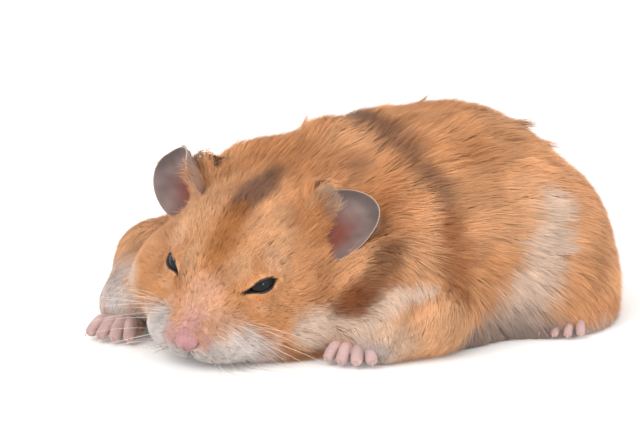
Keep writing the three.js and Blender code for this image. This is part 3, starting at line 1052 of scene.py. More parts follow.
@dataclass
class Torso(Joined):
    """The trunk, neck and head in one."""

    rows: int = 250
    cols: int = 250
    lid: float = 0.35  # mm of skin over the eyeball
    nap: float = 0.3  # mm of hair over that
    part: float = 1.5  # mm of depth of the parting below the nose
    cleft: Swell = Swell((0, -23.4, -12.0), (0.35, 2.6, 2.6), place=HEAD)
    whorl: Point = (0.0, -18.0, -6.0)  # the point in the head that the face's hair runs away from
    part_width: float = 0.7
    part_ahead: Pair = (17.5, 21.0)  # where the parting sets in, mm ahead in the head
    part_below: Pair = (8.5, 11.0)  # and below
    dome: float = 0.5  # how softly the domes over the eyes run in
    brow: Pair = (4.2, 7.5)  # mm from an eye's middle between which the coat deepens
    hole: float = 1.05  # share of the slit at which the skin ends
    slope: float = 1.1  # mm for each share of the slit
    socket: Pair = (0.9, 4.0)  # mm under the eyeball's face where the hole ends, and its depth
    ring: float = 1.8  # how strongly the hair runs away from the eyes
    ring_width: float = 2.4
    heights: Row = (0, 8, 18, 28, 45)
    droop: Row = (2.2, 1.3, 0.45, 0.12, 0.0)  # how steeply the hair falls at those heights
    splay: float = 0.012
    neck: Pair = (34, 62)  # stations between which the face's lie gives way to the trunk's
    bald: Pair = (0.1, 0.16)  # radians of bare lid along and across the slit
    bald_slit: float = 1.3  # share of the slit that is bare
    eye_reach: Pair = (9.0, 8.0)  # mm from an eye's middle that its slit and bare rim may reach
    nose_rim: float = 0.1  # mm round the nose tip that is bare

    def flesh(self, points: Array) -> Array:
        """Trunk and head, run together, with a low dome over each eye and a parting in the upper lip.

        Args:
            points: where it is read, mm.

        Returns:
            One near distance for each point.
        """
        body = melt([TRUNK.distance(points), SKULL.distance(points)], HEAD_TO_TRUNK)
        domes = [eye.gap(points) - eye.radius - self.lid - self.nap for eye in EYES]
        q = HEAD.into(points)
        lip = bump(q[..., 0] / self.part_width) * ramp(-q[..., 1], *self.part_ahead)
        lip = lip * ramp(-q[..., 2], *self.part_below)
        return melt([body, *domes], self.dome) + self.part * lip

    def own_depth(self, points: Array) -> Array:
        """The growth's depth, less round the eyes.

        Args:
            points: where it is read, mm.

        Returns:
            Depths, mm.
        """
        deep = super().own_depth(points)
        for eye in EYES:
            deep = deep + (self.nap - deep) * (1.0 - ramp(eye.gap(points), *self.brow))
        return deep

    def skin(self, points: Array) -> Array:
        """The skin with an almond hole over each eye, and the cleft of the upper lip.

        Args:
            points: where it is read, mm.

        Returns:
            One near distance for each point.
        """
        flesh = super().skin(points)
        for eye in EYES:
            gap = eye.gap(points)
            far = self.eye_reach[0]
            hole = np.where(gap < far, (eye.slit(points) - self.hole) * self.slope, far)
            flesh = np.maximum(flesh, np.minimum(-hole, eye.radius - self.socket[0] - gap + self.socket[1]))
        return np.maximum(flesh, -self.cleft.distance(points))

    def own_lie(self, points: Array) -> Array:
        """Away from the muzzle over the face, then back, out and down over the trunk.

        Args:
            points: where it is read, mm.

        Returns:
            One unit vector for each point.
        """
        face = unit(points - HEAD.out(self.whorl))
        for eye in EYES:
            gap = eye.gap(points)[..., None]
            face = face + self.ring * bump((gap - eye.radius) / self.ring_width) * (points - eye.at) / gap
        face = unit(face)
        droop = np.interp(points[..., 2], self.heights, self.droop)
        back = unit(np.stack([self.splay * points[..., 0], np.ones(len(points)), -droop], -1))
        return unit(mixed(face, back, ramp(self.station(points), *self.neck)))

    def bare(self, points: Array) -> Array:
        """No hair on the lids' rims, in the slits, on the nose or under the belly.

        Args:
            points: where it is read, mm.

        Returns:
            True where the skin is bare.
        """
        hairless = self.lying(points) | self.taken(points)
        for eye in EYES:
            along, over = eye.angles(points)
            reach = np.hypot(along / (eye.long + self.bald[0]), over / (eye.short + self.bald[1]))
            rim = (reach < 1.0) | (eye.slit(points) < self.bald_slit)
            hairless |= (eye.gap(points) < self.eye_reach[1]) & rim
        for ear in EARS:
            hairless |= np.linalg.norm(points - ear.notch, axis=-1) < ear.clear
        on_nose = (HEAD.into(points) - np.asarray(NOSE_AT)) / (np.asarray(NOSE_RADII) + self.nose_rim)
        hairless |= np.linalg.norm(on_nose, axis=-1) < 1.0
        return hairless


@dataclass
class Arm(Joined):
    """One foreleg, from the shoulder to the wrist."""

    side: Side
    upper: Bone
    fore: Bone
    growth: Growth = Growth(
        station=(0.0, 4.0, 12.0, 24.0, 40.0), depth=(0.4, 0.8, 1.4, 2.0, 2.6),
        length=(2.0, 2.8, 4.4, 5.6, 7.2), spread=(0.44, 0.46, 0.54, 0.64, 0.7),
        width=(0.055, 0.06, 0.065, 0.075, 0.08), gather=(0.3,) * 5)
    rows: int = 70
    cols: int = 60
    elbow: float = 1.6  # how softly its bones run together
    along: float = 0.55  # how far its hair runs along it and down
    down: float = 0.8

    @property
    def line(self) -> tuple[Array, Array]:
        """From the elbow to the wrist."""
        return self.upper.middle(0.75), self.fore.middle(0.6)

    def flesh(self, points: Array) -> Array:
        """Both bones, run together."""
        return melt([self.upper.distance(points), self.fore.distance(points)], self.elbow)

    def station(self, points: Array) -> Array:
        """Distance from the wrist."""
        return np.maximum(np.linalg.norm(points - self.fore.middle(1.0), axis=-1) - self.fore.last * 0.6, 0.0)

    def own_lie(self, points: Array) -> Array:
        """Down, and along the forearm to the paw."""
        way = self.along * unit(self.fore.middle(1.0) - self.fore.middle(0.0)) + (0.0, 0.0, -self.down)
        return np.broadcast_to(unit(way), points.shape)

    def bare(self, points: Array) -> Array:
        """No hair where the torso is nearer, nor on the floor."""
        return self.taken(points) | self.lying(points)


TORSO = Torso()
ARMS = (
    Arm(Side.LEFT, Bone((20, -27, 14), (28.4, -22, 8.5), 8.6, 8.2),
        Bone((28.4, -22, 8), (28.6, -34.0, 4.9), 8.0, 5.4)),
    Arm(Side.RIGHT, Bone((-20, -40, 15), (-30, -55.5, 11.5), 9.5, 9.0),
        Bone((-30, -55.5, 10.5), (-20, -68.6, 6.0), 8.6, 6.4)),
)
BODY: tuple[Ground, ...] = (TORSO, *ARMS)


# -------- paws
@dataclass(frozen=True)
class Paw:
    """A paw with its digits fanned forwards, -Y of its own frame."""

    side: Side
    at: Point
    yaw: float
    size: Point
    digits: int
    reach: float
    spread: float
    plump: float = 1.0  # how thick its digits are
    drop: float = 2.6  # mm that a digit comes down from the knuckle
    girth: Row = (0.9, 1.2, 1.42, 1.42, 1.36, 1.32, 1.15)  # a digit's radii from knuckle to tip
    start: float = -0.9  # where a digit starts inside the palm, as a share of its length
    tip: Pair = (0.86, 0.15)  # where its tip starts to round off, and over how much
    wrinkle: Pair = (0.03, 40)  # depth of its rings of skin, as a share, and how close
    claw: float = 0.55  # mm, a claw's length
    claw_at: Pair = (0.5, 0.7)  # mm ahead of the digit's tip and above it
    claw_radius: Pair = (0.2, 0.03)  # mm lost to the tip, and left there
    fur: float = 0.3  # mm of hair on the palm's back
    bow: float = 0.09  # share by which digits shorten with the square of their place from the middle
    sole: float = 1.9  # mm that a digit's tip lies under its root
    sinew: float = 0.05  # how far the sinews stand out, as a share

    @property
    def place(self) -> Place:
        """Its frame."""
        return Place(self.at, self.yaw)

    def digit_path(self, number: int, t: Array) -> Array:
        """The middle line of a digit: forwards by t times its reach, and down by `drop` t^1.5.

        Args:
            number: which digit, from the frame's -X side.
            t: places along it, 0 at the root and 1 at the tip.

        Returns:
            Points in the world, mm.
        """
        fan_at = number - (self.digits - 1) / 2
        reach = self.reach * (1 - self.bow * fan_at**2)
        height = self.drop * (1 - np.clip(t, 0, 1) ** 1.5) - self.sole + self.girth[-1] * self.plump
        height = height + 0.6 * t * (t < 0)
        line = np.stack([np.zeros_like(t), -reach * t, height], -1)
        root = (fan_at * self.size[0] * 0.46, -self.size[1] * 0.55, -0.6)
        return self.place.out(line @ turn(fan_at * self.spread).T + root)

    def shells(self) -> list[Shell]:
        """The palm, an egg with sinews over the knuckles, and each digit, a tube with its joints and pad.

        Returns:
            The palm, then the digits.
        """
        ball = ball_grid(22, 40)
        waves = np.cos(ball[..., 0:1] * math.pi * self.digits)
        sinew = 1 + self.sinew * waves * np.clip(-ball[..., 1:2], 0, 1)
        size = np.asarray(self.size) - self.fur
        palm = rings_to_shell(self.place.out(ball * sinew * size), self.place.out((0, size[1], 0)),
                              self.place.out((0, -size[1], 0)))
        t = np.linspace(self.start, 1, 30)
        radii = np.interp(t, np.linspace(self.start, 1, len(self.girth)), self.girth) * self.plump
        radii = radii * np.sqrt(1 - np.clip((t - self.tip[0]) / self.tip[1], 0, 0.95) ** 2)
        radii = radii * (1 - self.wrinkle[0] * np.cos(t * self.wrinkle[1]))
        return [palm, *(tube(self.digit_path(i, t), radii, 16, UP) for i in range(self.digits))]

    def claws(self) -> Shell:
        """A small horn on each digit: a cone whose middle line bends down by the square of its length.

        Returns:
            All claws of the paw as one shell.
        """
        horns = []
        t = np.linspace(0, 1, 8)
        for number in range(self.digits):
            tip, before = self.digit_path(number, np.array([1.0, 0.7]))
            ahead = unit((tip - before) * (1, 1, 0))
            line = tip + ahead * (self.claw * t[:, None] + self.claw_at[0])
            line = line + np.outer(self.claw_at[1] - t**2, UP)
            line[:, 2] = np.maximum(line[:, 2], LOW)
            radii = self.claw_radius[0] * (1 - t) ** 0.7 + self.claw_radius[1]
            horns.append(tube(line, radii, 9, UP, 0.8))
        return merged(horns)


PAWS = (
    Paw(Side.LEFT, (24.8, -38.0, 2.6), 42, (5.2, 5.4, 2.9), 4, 4.6, 14),
    Paw(Side.RIGHT, (-16.3, -72.0, 2.6), 32, (5.2, 5.4, 2.9), 4, 4.6, 14),
    Paw(Side.LEFT, (29.8, 12.4, 2.6), 40, (5.0, 8.0, 3.0), 5, 5.0, 9, 0.76, 2.2),
    Paw(Side.RIGHT, (-29.8, 12.4, 2.6), -40, (5.0, 8.0, 3.0), 5, 5.0, 9, 0.76, 2.2),
)


COVERED = -1.5  # mm inside the torso's outline where a paw or the tail grows no hair


@dataclass
class Palm(Ground):
    """The furred back of a paw, from the wrist to the knuckles."""

    paw: Paw
    growth: Growth = Growth((0.0, 8.0), (0.1, 0.5), (1.0, 2.6), (0.3, 0.4), (0.045, 0.055), (0.2, 0.3))
    rows: int = 26
    cols: int = 30

    @property
    def line(self) -> tuple[Array, Array]:
        """Its middle line, wrist to knuckles."""
        half = self.paw.size[1] / 2
        return self.paw.place.out((0, half, 0)), self.paw.place.out((0, -half, 0))

    def flesh(self, points: Array) -> Array:
        """The egg of the palm."""
        return Swell(self.paw.at, self.paw.size, self.paw.yaw).distance(points)

    def station(self, points: Array) -> Array:
        """Distance behind the knuckles."""
        return self.paw.place.into(points)[..., 1] + 0.66 * self.paw.size[1]

    def own_lie(self, points: Array) -> Array:
        """To the knuckles and a little down."""
        return np.broadcast_to(self.paw.place.axes @ unit(np.array([0.0, -1.0, -0.3])), points.shape)

    def bare(self, points: Array) -> Array:
        """No hair on the digits, the sole or what the body covers."""
        return (TORSO.outline(points) < COVERED) | (self.station(points) < 0) | (points[..., 2] < 1.4)


@dataclass
class Stub(Ground):
    """The short tail."""

    bone: Bone = Bone((0, 34, 8), (1.6, 42.5, 4.2), 3.4, 1.5)
    growth: Growth = Growth((0.0, 10.0), (0.2, 0.4), (1.6, 2.6), (0.36, 0.4), (0.045, 0.055), (0.2, 0.3))
    rows: int = 26
    cols: int = 26

    @property
    def line(self) -> tuple[Array, Array]:
        """Its middle line."""
        return self.bone.middle(0.3), self.bone.middle(0.9)

    def flesh(self, points: Array) -> Array:
        """The round cone of the tail."""
        return self.bone.distance(points)

    def station(self, points: Array) -> Array:
        """Distance from the tip."""
        return np.linalg.norm(points - self.bone.middle(1.0), axis=-1)

    def own_lie(self, points: Array) -> Array:
        """To the tip."""
        return np.broadcast_to(unit(self.bone.middle(1.0) - self.bone.middle(0.0)), points.shape)

    def bare(self, points: Array) -> Array:
        """No hair where the rump covers it."""
        return TORSO.outline(points) < COVERED


PALMS = tuple(Palm(paw) for paw in PAWS)
TAIL = Stub()


@dataclass
class Skin:
    """One closed skin over trunk, neck, head, legs, paws and tail."""

    nodes: tuple[str, ...] = ("head", "neck", "trunk", "tail", *(
        f"{limb}_{side.word}" for limb in ("foreleg", "hind_leg", "forepaw", "hind_foot") for side in Side))
    bare: Point = (2.2, 1.5, 5.5)  # half-sizes of the bare part of a paw: shares of the palm's, and mm high

    def build(self, grids: dict[str, tuple[Array, Array]]) -> bpy.types.Object:
        """Joins the shells and paints them.

        Args:
            grids: rings and poles of each ground.

        Returns:
            The skin.
        """
        shells = [rings_to_shell(rings, *poles) for rings, poles in grids.values()]
        shells += [shell for paw in PAWS for shell in paw.shells()]
        skin = united("skin", shells)
        points = points_of(skin.data)
        points[:, 2] = np.maximum(points[:, 2], FLOOR_GAP)
        skin.data.vertices.foreach_set("co", (points * MM).astype(np.float32).ravel())
        bare = np.zeros(len(points))
        for paw in PAWS:
            q = paw.place.into(points) + (0, paw.size[1] * 0.9, 0)
            half = (paw.size[0] * self.bare[0], paw.size[1] * self.bare[1], self.bare[2])
            bare = np.maximum(bare, 1 - ramp(np.linalg.norm(q / half, axis=-1), 0.8, 1.1))
        flush = Tone.PAW.value * (0.9 + 0.12 * ripple(points, 1.6, 9))[:, None]
        paint(skin.data, mixed(coat_colour(points), flush, bare))
        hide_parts(*self.nodes)
        return dress(skin, SKIN_FINISH)


# -------- the coat
@dataclass
class Locks:
    """Locks of hair: the middle line of each, with its frame at every node, mm."""

    path: Array  # lock, node, xyz
    outward: Array
    across: Array
    uv: Array  # place of the root on the skin's unwrap
    station: Array

    def pick(self, chosen: Array) -> "Locks":
        """Only the chosen locks."""
        return Locks(**{name: values[chosen] for name, values in vars(self).items()})

    @classmethod
    def joined(cls, sets: Sequence["Locks"]) -> "Locks":
        """All locks of several sets, their unwraps laid in columns side by side.

        Args:
            sets: the sets, each with an unwrap of its own.

        Returns:
            One set.
        """
        width = 1.0 / len(sets)
        rows = {name: np.concatenate([getattr(locks, name) for locks in sets]) for name in vars(sets[0])}
        rows["uv"] = np.vstack([locks.uv * (0.94 * width, 1.0) + (i * width, 0.0)
                                for i, locks in enumerate(sets)])
        return cls(**rows)


Dye = Callable[[Array], Array]  # from points in mm to linear colours


@dataclass
class Coat:
    """The hair: locks scattered over the grounds, combed along the lie, and split into named pieces."""

    hairs: int = 11  # in a lock
    crowding: float = 2.25  # area of skin for each lock, in squares of its spread
    nodes: int = 7
    seed: int = 11
    ruffle: float = 5.5  # degrees by which a lock strays
    swirl: float = 10.0  # degrees by which the lie wanders
    crest: float = 2.2  # mm that a tuft on the back stands up
    fluff: float = 0.14  # how far a hair's tip strays out of the coat or into it, as a share of its depth
    mottle: float = 0.11  # how much tufts differ in tone
    ticked: float = 0.02  # share of dark hairs
    ridge: float = 0.7  # height of a hair as a share of its half-width
    patch: float = 0.003  # of the unwrap for each hair
    stops: Row = (0.0, 0.42, 1.0)  # root, belly and tip of a hair along its lock
    shades: Row = (0.84, 0.97, 1.08)  # of its colour there: darker at the root for the grey undercoat and as painted shade deep in the coat, and lighter at the tip
    lengths: Pair = (0.85, 1.12)  # least and greatest share of the growth's length
    rises: Pair = (0.9, 1.03)  # least and greatest share of the depth that a lock rises by
    lid_reach: Pair = (4.0, 7.5)  # mm from an eye's middle between which the hair lengthens
    lid_share: float = 0.3  # of its length nearest the eye
    tuft_height: Pair = (24, 34)  # mm above the floor where tufts begin to stand up
    tuft_station: Pair = (42, 56)
    tuft_noise: Pair = (0.9, 1.4)
    ease: float = 1.7  # power by which the rise of a lock levels off
    clearance: float = 0.15  # mm that the line of a lock keeps above the lowest hair
    strew: float = 0.9  # how far hairs root from the middle of their lock, in its spreads
    wander: float = 0.15  # how far their tips stray sideways, in its spreads
    lock_tone: float = 0.06  # how much locks differ in tone
    hair_tone: float = 0.05  # and the hairs of one lock
    tick: float = 0.3  # how much darker the dark hairs are
    thin: Pair = (0.7, 1.2)  # least and greatest share of the growth's width
    ends: Pair = (0.78, 1.0)  # least and greatest share of a lock that a hair runs along
    rng: np.random.Generator = field(init=False)

    def __post_init__(self) -> None:
        """Starts the draws."""
        self.rng = np.random.default_rng(self.seed)

    def scatter(self, ground: Ground, rings: Array) -> tuple[Array, Array]:
        """Roots over a grid of skin, as many in each cell as its area over the lock's own area asks.

        Args:
            ground: the surface.
            rings: its grid.

        Returns:
            Root points and their places on the unwrap (share along, share round).
        """
        rows, cols = rings.shape[:2]
        a, b = rings[:-1], rings[1:]
        c, d = np.roll(b, -1, 1), np.roll(a, -1, 1)
        area = 0.5 * np.linalg.norm(np.cross(c - a, d - b), axis=-1)
        middle = ((a + b + c + d) / 4).reshape(-1, 3)
        spread = ground.growth.read("spread", ground.station(middle))
        wanted = area.ravel() / (self.crowding * spread**2) * HAIR_SHARE
        wanted[ground.bare(middle)] = 0
        cell = np.repeat(np.arange(len(wanted)), (wanted + self.rng.random(len(wanted))).astype(int))
        s, t = self.rng.random((2, len(cell)))
        i, j = np.divmod(cell, cols)
        k = (j + 1) % cols
        near = rings[i, j] * (1 - t)[:, None] + rings[i, k] * t[:, None]
        far = rings[i + 1, j] * (1 - t)[:, None] + rings[i + 1, k] * t[:, None]
        roots = near * (1 - s)[:, None] + far * s[:, None]
        return roots, np.stack([(i + s) / rows, (j + t) / cols], -1)

    def comb(self, ground: Ground, rings: Array) -> Locks:
        """Walks each lock from its root along the lie while its level rises from the skin to the outline.

        At the share t of its length the lock is at the level -depth + rise (1 - (1 - t)^ease).

        Args:
            ground: the surface.
            rings: the grid of skin that the locks start on.

        Returns:
            The locks.
        """
        roots, uv = self.scatter(ground, rings)
        n = len(roots)
        station = ground.station(roots)
        length = ground.growth.read("length", station) * self.rng.uniform(*self.lengths, n)
        near_eye = np.min([eye.gap(roots) for eye in EYES], axis=0)
        length *= np.interp(near_eye, self.lid_reach, (self.lid_share, 1.0))
        depth = ground.depth(roots)
        rise = depth * self.rng.uniform(*self.rises, n)
        tufted = ramp(ripple(roots, 3.0, 22), *self.tuft_noise) * ramp(roots[:, 2], *self.tuft_height)
        rise += self.crest * (tufted * ramp(station, *self.tuft_station))
        stray = np.radians(self.rng.normal(0, self.ruffle, n) + self.swirl * ripple(roots, 13.0, 21)
                           + 0.4 * self.swirl * ripple(roots, 3.6, 23))
        p = roots.copy()
        path, outward, across = [], [], []
        for node in range(self.nodes):
            normal = ground.outward(p)
            way = ground.lie(p)
            way = unit(way - (way * normal).sum(-1, keepdims=True) * normal)
            side = np.cross(way, normal)
            way = way * np.cos(stray)[:, None] + side * np.sin(stray)[:, None]
            path.append(p.copy())
            outward.append(normal)
            across.append(np.cross(way, normal))
            p = p + way * (length / (self.nodes - 1))[:, None]
            t = min((node + 1) / (self.nodes - 1), 1.0)
            wanted = -depth + rise * (1 - (1 - t) ** self.ease)
            for _ in range(2):
                p = p + normal * (wanted - ground.outline(p))[:, None]
            p[:, 2] = np.maximum(p[:, 2], FLOOR_GAP + self.clearance)
        return Locks(np.stack(path, 1), np.stack(outward, 1), np.stack(across, 1), uv, station)

    def grow(self, name: str, locks: Locks, growth: Growth,
             dye: Dye = coat_colour) -> bpy.types.Object:
        """Makes the hairs of the locks: each a closed three-sided spindle along its own line in the lock.

        A hair's line is the lock's line, moved sideways and along by its own place in the lock, and drawn in
        towards the middle as it nears the tip.

        Args:
            name: the piece's name.
            locks: the locks.
            growth: widths and gathering by station.
            dye: the hairs' colour at their own place.

        Returns:
            The piece.
        """
        rng, lock = self.rng, np.repeat(np.arange(len(locks.path)), self.hairs)
        n = len(lock)
        station = locks.station[lock]
        spread, gather = growth.read("spread", station), growth.read("gather", station)
        aside, along = rng.normal(0, self.strew, (2, n)) * spread
        lift = rng.normal(0, self.fluff, n) * growth.read("depth", station)
        t = np.array(self.stops) * rng.uniform(*self.ends, (n, 1))
        at = t * (self.nodes - 1)
        i = np.minimum(at.astype(int), self.nodes - 2)
        f = (at - i)[..., None]
        line, outward, across = (values[lock[:, None], i] * (1 - f) + values[lock[:, None], i + 1] * f
                                 for values in (locks.path, locks.outward, locks.across))
        sideways = aside[:, None] * (1 - gather[:, None] * t**1.3)
        sideways = sideways + rng.normal(0, self.wander, (n, 1)) * spread[:, None] * t
        ahead = along[:, None] * (1 - 0.4 * t)
        line = (line + across * sideways[..., None] + np.cross(outward, across) * ahead[..., None]
                + outward * (lift[:, None] * t**2)[..., None])
        line[..., 2] = np.maximum(line[..., 2], FLOOR_GAP)
        points, normals = self.spindles(line, outward[:, 1], across[:, 1],
                                        growth.read("width", station) * rng.uniform(*self.thin, n))
        root = locks.path[:, 0]
        mottle = ripple(root, 3.2, 24) + 0.7 * ripple(root, 8.0, 25)
        shade = rng.normal(0, self.lock_tone, len(root)) + self.mottle * mottle
        tone = shade[lock] + rng.normal(0, self.hair_tone, n)
        tone -= self.tick * (rng.random(n) < self.ticked)
        hue = dye(line[:, 1]) * np.exp(tone)[:, None]
        # each hair darker at its root, for the grey undercoat and as painted shade deep in the coat
        colours = np.clip(hue[:, None] * np.array(self.shades)[[0, 1, 1, 1, 2]][:, None], 0, 1)
        faces = np.array([(0, 1, 2), (0, 2, 3), (0, 3, 1), (4, 2, 1), (4, 3, 2), (4, 1, 3)])
        tris = (faces[None] + 5 * np.arange(n)[:, None, None]).reshape(-1, 3)
        shell = Shell(points.reshape(-1, 3), np.empty((0, 4), int), tris)
        piece = put_mesh(name, shell, colours.reshape(-1, 3))
        piece.data.normals_split_custom_set(normals.reshape(-1, 3))
        place = locks.uv - locks.uv.min(axis=0)
        place = 0.01 + 0.975 * place / np.maximum(place.max(axis=0), 1e-6)
        corner = np.array([(-0.5, 0.0), (0.0, -0.5), (0.0, 0.5), (0.1, 0.0), (0.5, 0.0)]) * self.patch
        uv = (place[lock][:, None] + corner).reshape(-1, 2)
        layer = piece.data.uv_layers.new(name=ROOT_MAP)
        layer.data.foreach_set("uv", uv[tris.ravel()].astype(np.float32).ravel())
        LOG.info("%s: %d locks, %d hairs", name, len(locks.path), n)
        return dress(piece, HAIR_FINISH)

    def spindles(self, line: Array, outward: Array, across: Array, width: Array) -> tuple[Array, Array]:
        """Points of hairs, as root, ring of three and tip, and the normals of their faces' corners.

        Args:
            line: root, belly and tip of each hair.
            outward: the way out of the coat at each belly.
            across: the way across the hair there.
            width: half-width of each hair.

        Returns:
            Points in mm, and unit normals, which lean to the way out so that the coat shades as one. Those of
            the two faces below lean to the side and under.
        """
        twist = self.rng.normal(0, 0.35, (len(line), 1))
        flat = across * np.cos(twist) + outward * np.sin(twist)
        over = outward * np.cos(twist) - across * np.sin(twist)
        edge, ridge = flat * width[:, None], over * width[:, None] * self.ridge
        root, belly, tip = (line[:, k] for k in range(3))
        points = np.stack([root, belly - edge, belly + edge, belly + ridge, tip], 1)
        lean = outward + self.rng.normal(0, 0.12, (len(line), 1)) * across
        left, right = lean - 0.35 * flat, lean + 0.35 * flat
        below = [0.8 * outward - over] * 3
        return points, unit(np.stack([*below, lean, right, lean, lean, lean, left,
                                      *below, lean, lean, right, lean, left, lean], 1))


@dataclass(frozen=True)
class Region:
    """A named share of the coat between two stations."""

    name: str
    near: float
    far: float
    slot: str = "coat"


REGIONS = (
    Region("muzzle", 0.0, 13.0, "coat_pale"),
    Region("face", 13.0, 25.0),
    Region("crown", 25.0, 39.0),
    Region("nape", 39.0, 56.0),
    Region("shoulders", 56.0, 72.0),
    Region("back", 72.0, 90.0),
    Region("rump", 90.0, 200.0),
)


# -------- eyes, nose, ears
@dataclass(frozen=True)
class EyeSet:
    """An eyeball and the lids round it."""

    eye: Eye
    margin: float = 0.26  # radians from the slit's rim to the lids' outer edge
    corner: float = 0.12  # share by which the inner corner is drawn out
    dark: float = 0.55  # share of the lids that is dark
    tuck: float = 0.05  # radians by which the inner corner hangs
    heavy: float = 0.25  # share by which the upper lid is thicker
    cornea: float = 0.012  # how far the swell over the pupil stands out, as a share
    pupil: Pair = (0.5, 0.8)  # share of the radius ahead where it sets in and is full
    share: Row = (0.0, 0.10, 0.28, 0.50, 0.80, 1.0, 0.90, 0.5, 0.10, -0.03)  # round the profile
    proud: Row = (0.30, 0.42, 0.46, 0.42, 0.22, -0.25, -0.6, -0.7, -0.6, 0.02)  # off the ball

    def build_ball(self) -> bpy.types.Object:
        """The eyeball: a ball with a faint swell over the pupil.

        Returns:
            The eyeball.
        """
        grid = ball_grid(40, 64)
        swell = 1 + self.cornea * np.clip(-grid[..., 1:2], 0, 1) ** 4
        points = self.eye.at + (grid * swell * self.eye.radius) @ self.eye.axes.T
        poles = [self.eye.at + sign * self.eye.radius * self.eye.axes[:, 1] for sign in (1, -1)]
        shell = rings_to_shell(points, *poles)
        depth = (shell.points - self.eye.at) @ -self.eye.axes[:, 1] / self.eye.radius
        colours = mixed(np.broadcast_to(Tone.EYEBALL.value, shell.points.shape), Tone.PUPIL.value,
                        ramp(depth, *self.pupil))
        ball = put_mesh(f"eyeball_{self.eye.side.word}", shell, colours)
        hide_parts(f"eye_{self.eye.side.word}")
        return dress(ball, EYE_FINISH)

    def build_lids(self) -> bpy.types.Object:
        """Both lids as one closed ring: a thin profile carried round the almond slit.

        The slit's rim is (long cos p, short |sin p|^1.5) in radians on the ball, drawn out by `corner` and
        down by `tuck` where it nears the nose. The lids' outer edge lies `margin` further out along the same
        ray, and a profile point lies at its share between the two, at its own height off the ball.

        Returns:
            The lids.
        """
        eye = self.eye
        p = np.linspace(0, 2 * math.pi, 144, endpoint=False)
        rise = eye.short * np.sign(np.sin(p)) * np.abs(np.sin(p)) ** 1.5
        inner = np.stack([eye.long * np.cos(p), rise], -1)
        nasal = np.clip(-eye.side.value * np.cos(p), 0, 1) ** 6
        inner[:, 0] *= 1 + self.corner * nasal
        inner[:, 1] -= self.tuck * nasal
        outer = inner + self.margin * unit(np.stack([0.5 * np.cos(p), np.sin(p)], -1))
        share, proud = np.array(self.share), np.array(self.proud)
        at = inner[None] * (1 - share[:, None, None]) + outer[None] * share[:, None, None]
        heavy = 1 + self.heavy * ramp(np.sin(p), -0.2, 0.7) * ramp(share, 0.1, 0.4)[:, None]
        radius = eye.radius + np.where(proud > 0, proud, 0)[:, None] * heavy + np.minimum(proud, 0)[:, None]
        shell = rings_to_shell(eye.on_ball(at[..., 0], at[..., 1], radius))
        pale = np.repeat(share, len(p)) + 0.06 * ripple(shell.points, 0.8, 41)
        edge = ramp(pale - 0.5 * np.tile(nasal, len(share)), self.dark - 0.15, self.dark + 0.2)
        colours = mixed(np.broadcast_to(Tone.LID.value, shell.points.shape), coat_colour(shell.points) * 0.85,
                        edge)
        return dress(put_mesh(f"eyelids_{eye.side.word}", shell, colours), LID_FINISH)


@dataclass(frozen=True)
class Nose:
    """The bare tip of the nose, with a comma of nostril on each side and the groove below, both darkened as
    painted shade, and the wings over the nostrils lightened as a painted highlight.
    """

    at: Point = NOSE_AT
    radii: Point = (3.1, 1.9, 2.2)
    narrow: float = 0.45  # share by which its lower end is narrower
    crest: float = 2.3  # how much further its upper end runs up the bridge
    nostril: tuple[Point, ...] = ((0.97, -0.38, 0.06), (0.86, -0.55, -0.28), (0.55, -0.72, -0.58),
                                  (0.16, -0.75, -0.78))
    gape: Row = (0.15, 0.14, 0.11, 0.09)  # its half-width at each of those
    groove: float = 0.14  # how deep the groove is, as a share of the size
    groove_width: float = 0.08
    hollow: Pair = (0.10, 0.16)  # depth of a nostril inside, and how much more outside
    wing: float = 0.035  # how far the wings over the nostrils stand out
    wing_at: Point = (0.02, 0.0, -0.17)  # from the nostrils
    wing_width: float = 1.4  # in half-widths of a nostril
    back: float = 1.3  # mm by which the upper end leans back

    def build(self) -> bpy.types.Object:
        """An egg drawn in by exp(-d^2) dents along the nostrils and the groove.

        Below its middle it narrows by `narrow`. Above it runs up by `crest` and leans back by the height^1.5.

        Returns:
            The nose tip.
        """
        grid = ball_grid(72, 112)
        half = np.concatenate([np.abs(grid[..., 0:1]), grid[..., 1:]], -1)
        line = Stripe(Tone.LID, tuple(map(tuple, unit(np.array(self.nostril)))), self.gape)
        slot = bump(line.nearness(half))
        slot_depth = self.hollow[0] + self.hollow[1] * ramp(half[..., 0], 0.4, 0.9)
        groove = bump(grid[..., 0] / self.groove_width) * ramp(-grid[..., 2], 0.1, 0.6)
        wing = bump(line.nearness(half - self.wing_at) / self.wing_width)
        draw = 1 - slot_depth * slot - self.groove * groove + self.wing * wing
        up = np.clip(grid[..., 2], 0, 1)
        slim = 1 - self.narrow * ramp(-grid[..., 2], 0.1, 1.0) - 0.3 * up**2
        scale = np.stack([slim, np.ones_like(slim), 1 + (self.crest - 1) * up], -1)
        rings = grid * scale * draw[..., None] * self.radii
        rings[..., 1] += self.back * up**1.5
        place = replace(HEAD, at=tuple(HEAD.out(self.at)))
        poles = [place.out((0, sign * self.radii[1], 0)) for sign in (1, -1)]
        shell = rings_to_shell(place.out(rings), *poles)
        # painted shade in the nostrils and the groove, and a painted highlight on the wings over them
        dark = np.concatenate([np.clip(slot + 0.6 * groove, 0, 1).ravel(), [0, 0]])
        light = np.concatenate([wing.ravel(), [0, 0]])
        speckle = 0.25 * ripple(shell.points, 0.5, 51) + 0.2 * ripple(shell.points, 1.4, 52)
        colours = mixed(Tone.ROSE.value * (1 + 0.35 * speckle)[:, None], Tone.NOSE_LIGHT.value, 0.4 * light)
        colours = mixed(colours, Tone.NOSTRIL.value, dark * 0.9)
        nose = put_mesh("nose_tip", shell, colours)
        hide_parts("nose")
        return dress(nose, NOSE_FINISH)


@dataclass(frozen=True)
class Down:
    """Locks on one face of an ear."""

    count: int
    face: int  # 1 for the hollow face, -1 for the back
    ups: Pair  # least and greatest share up the ear of the roots
    acrosses: Pair  # and across it
    length: float
    rise: float  # mm that the tips stand off the ear


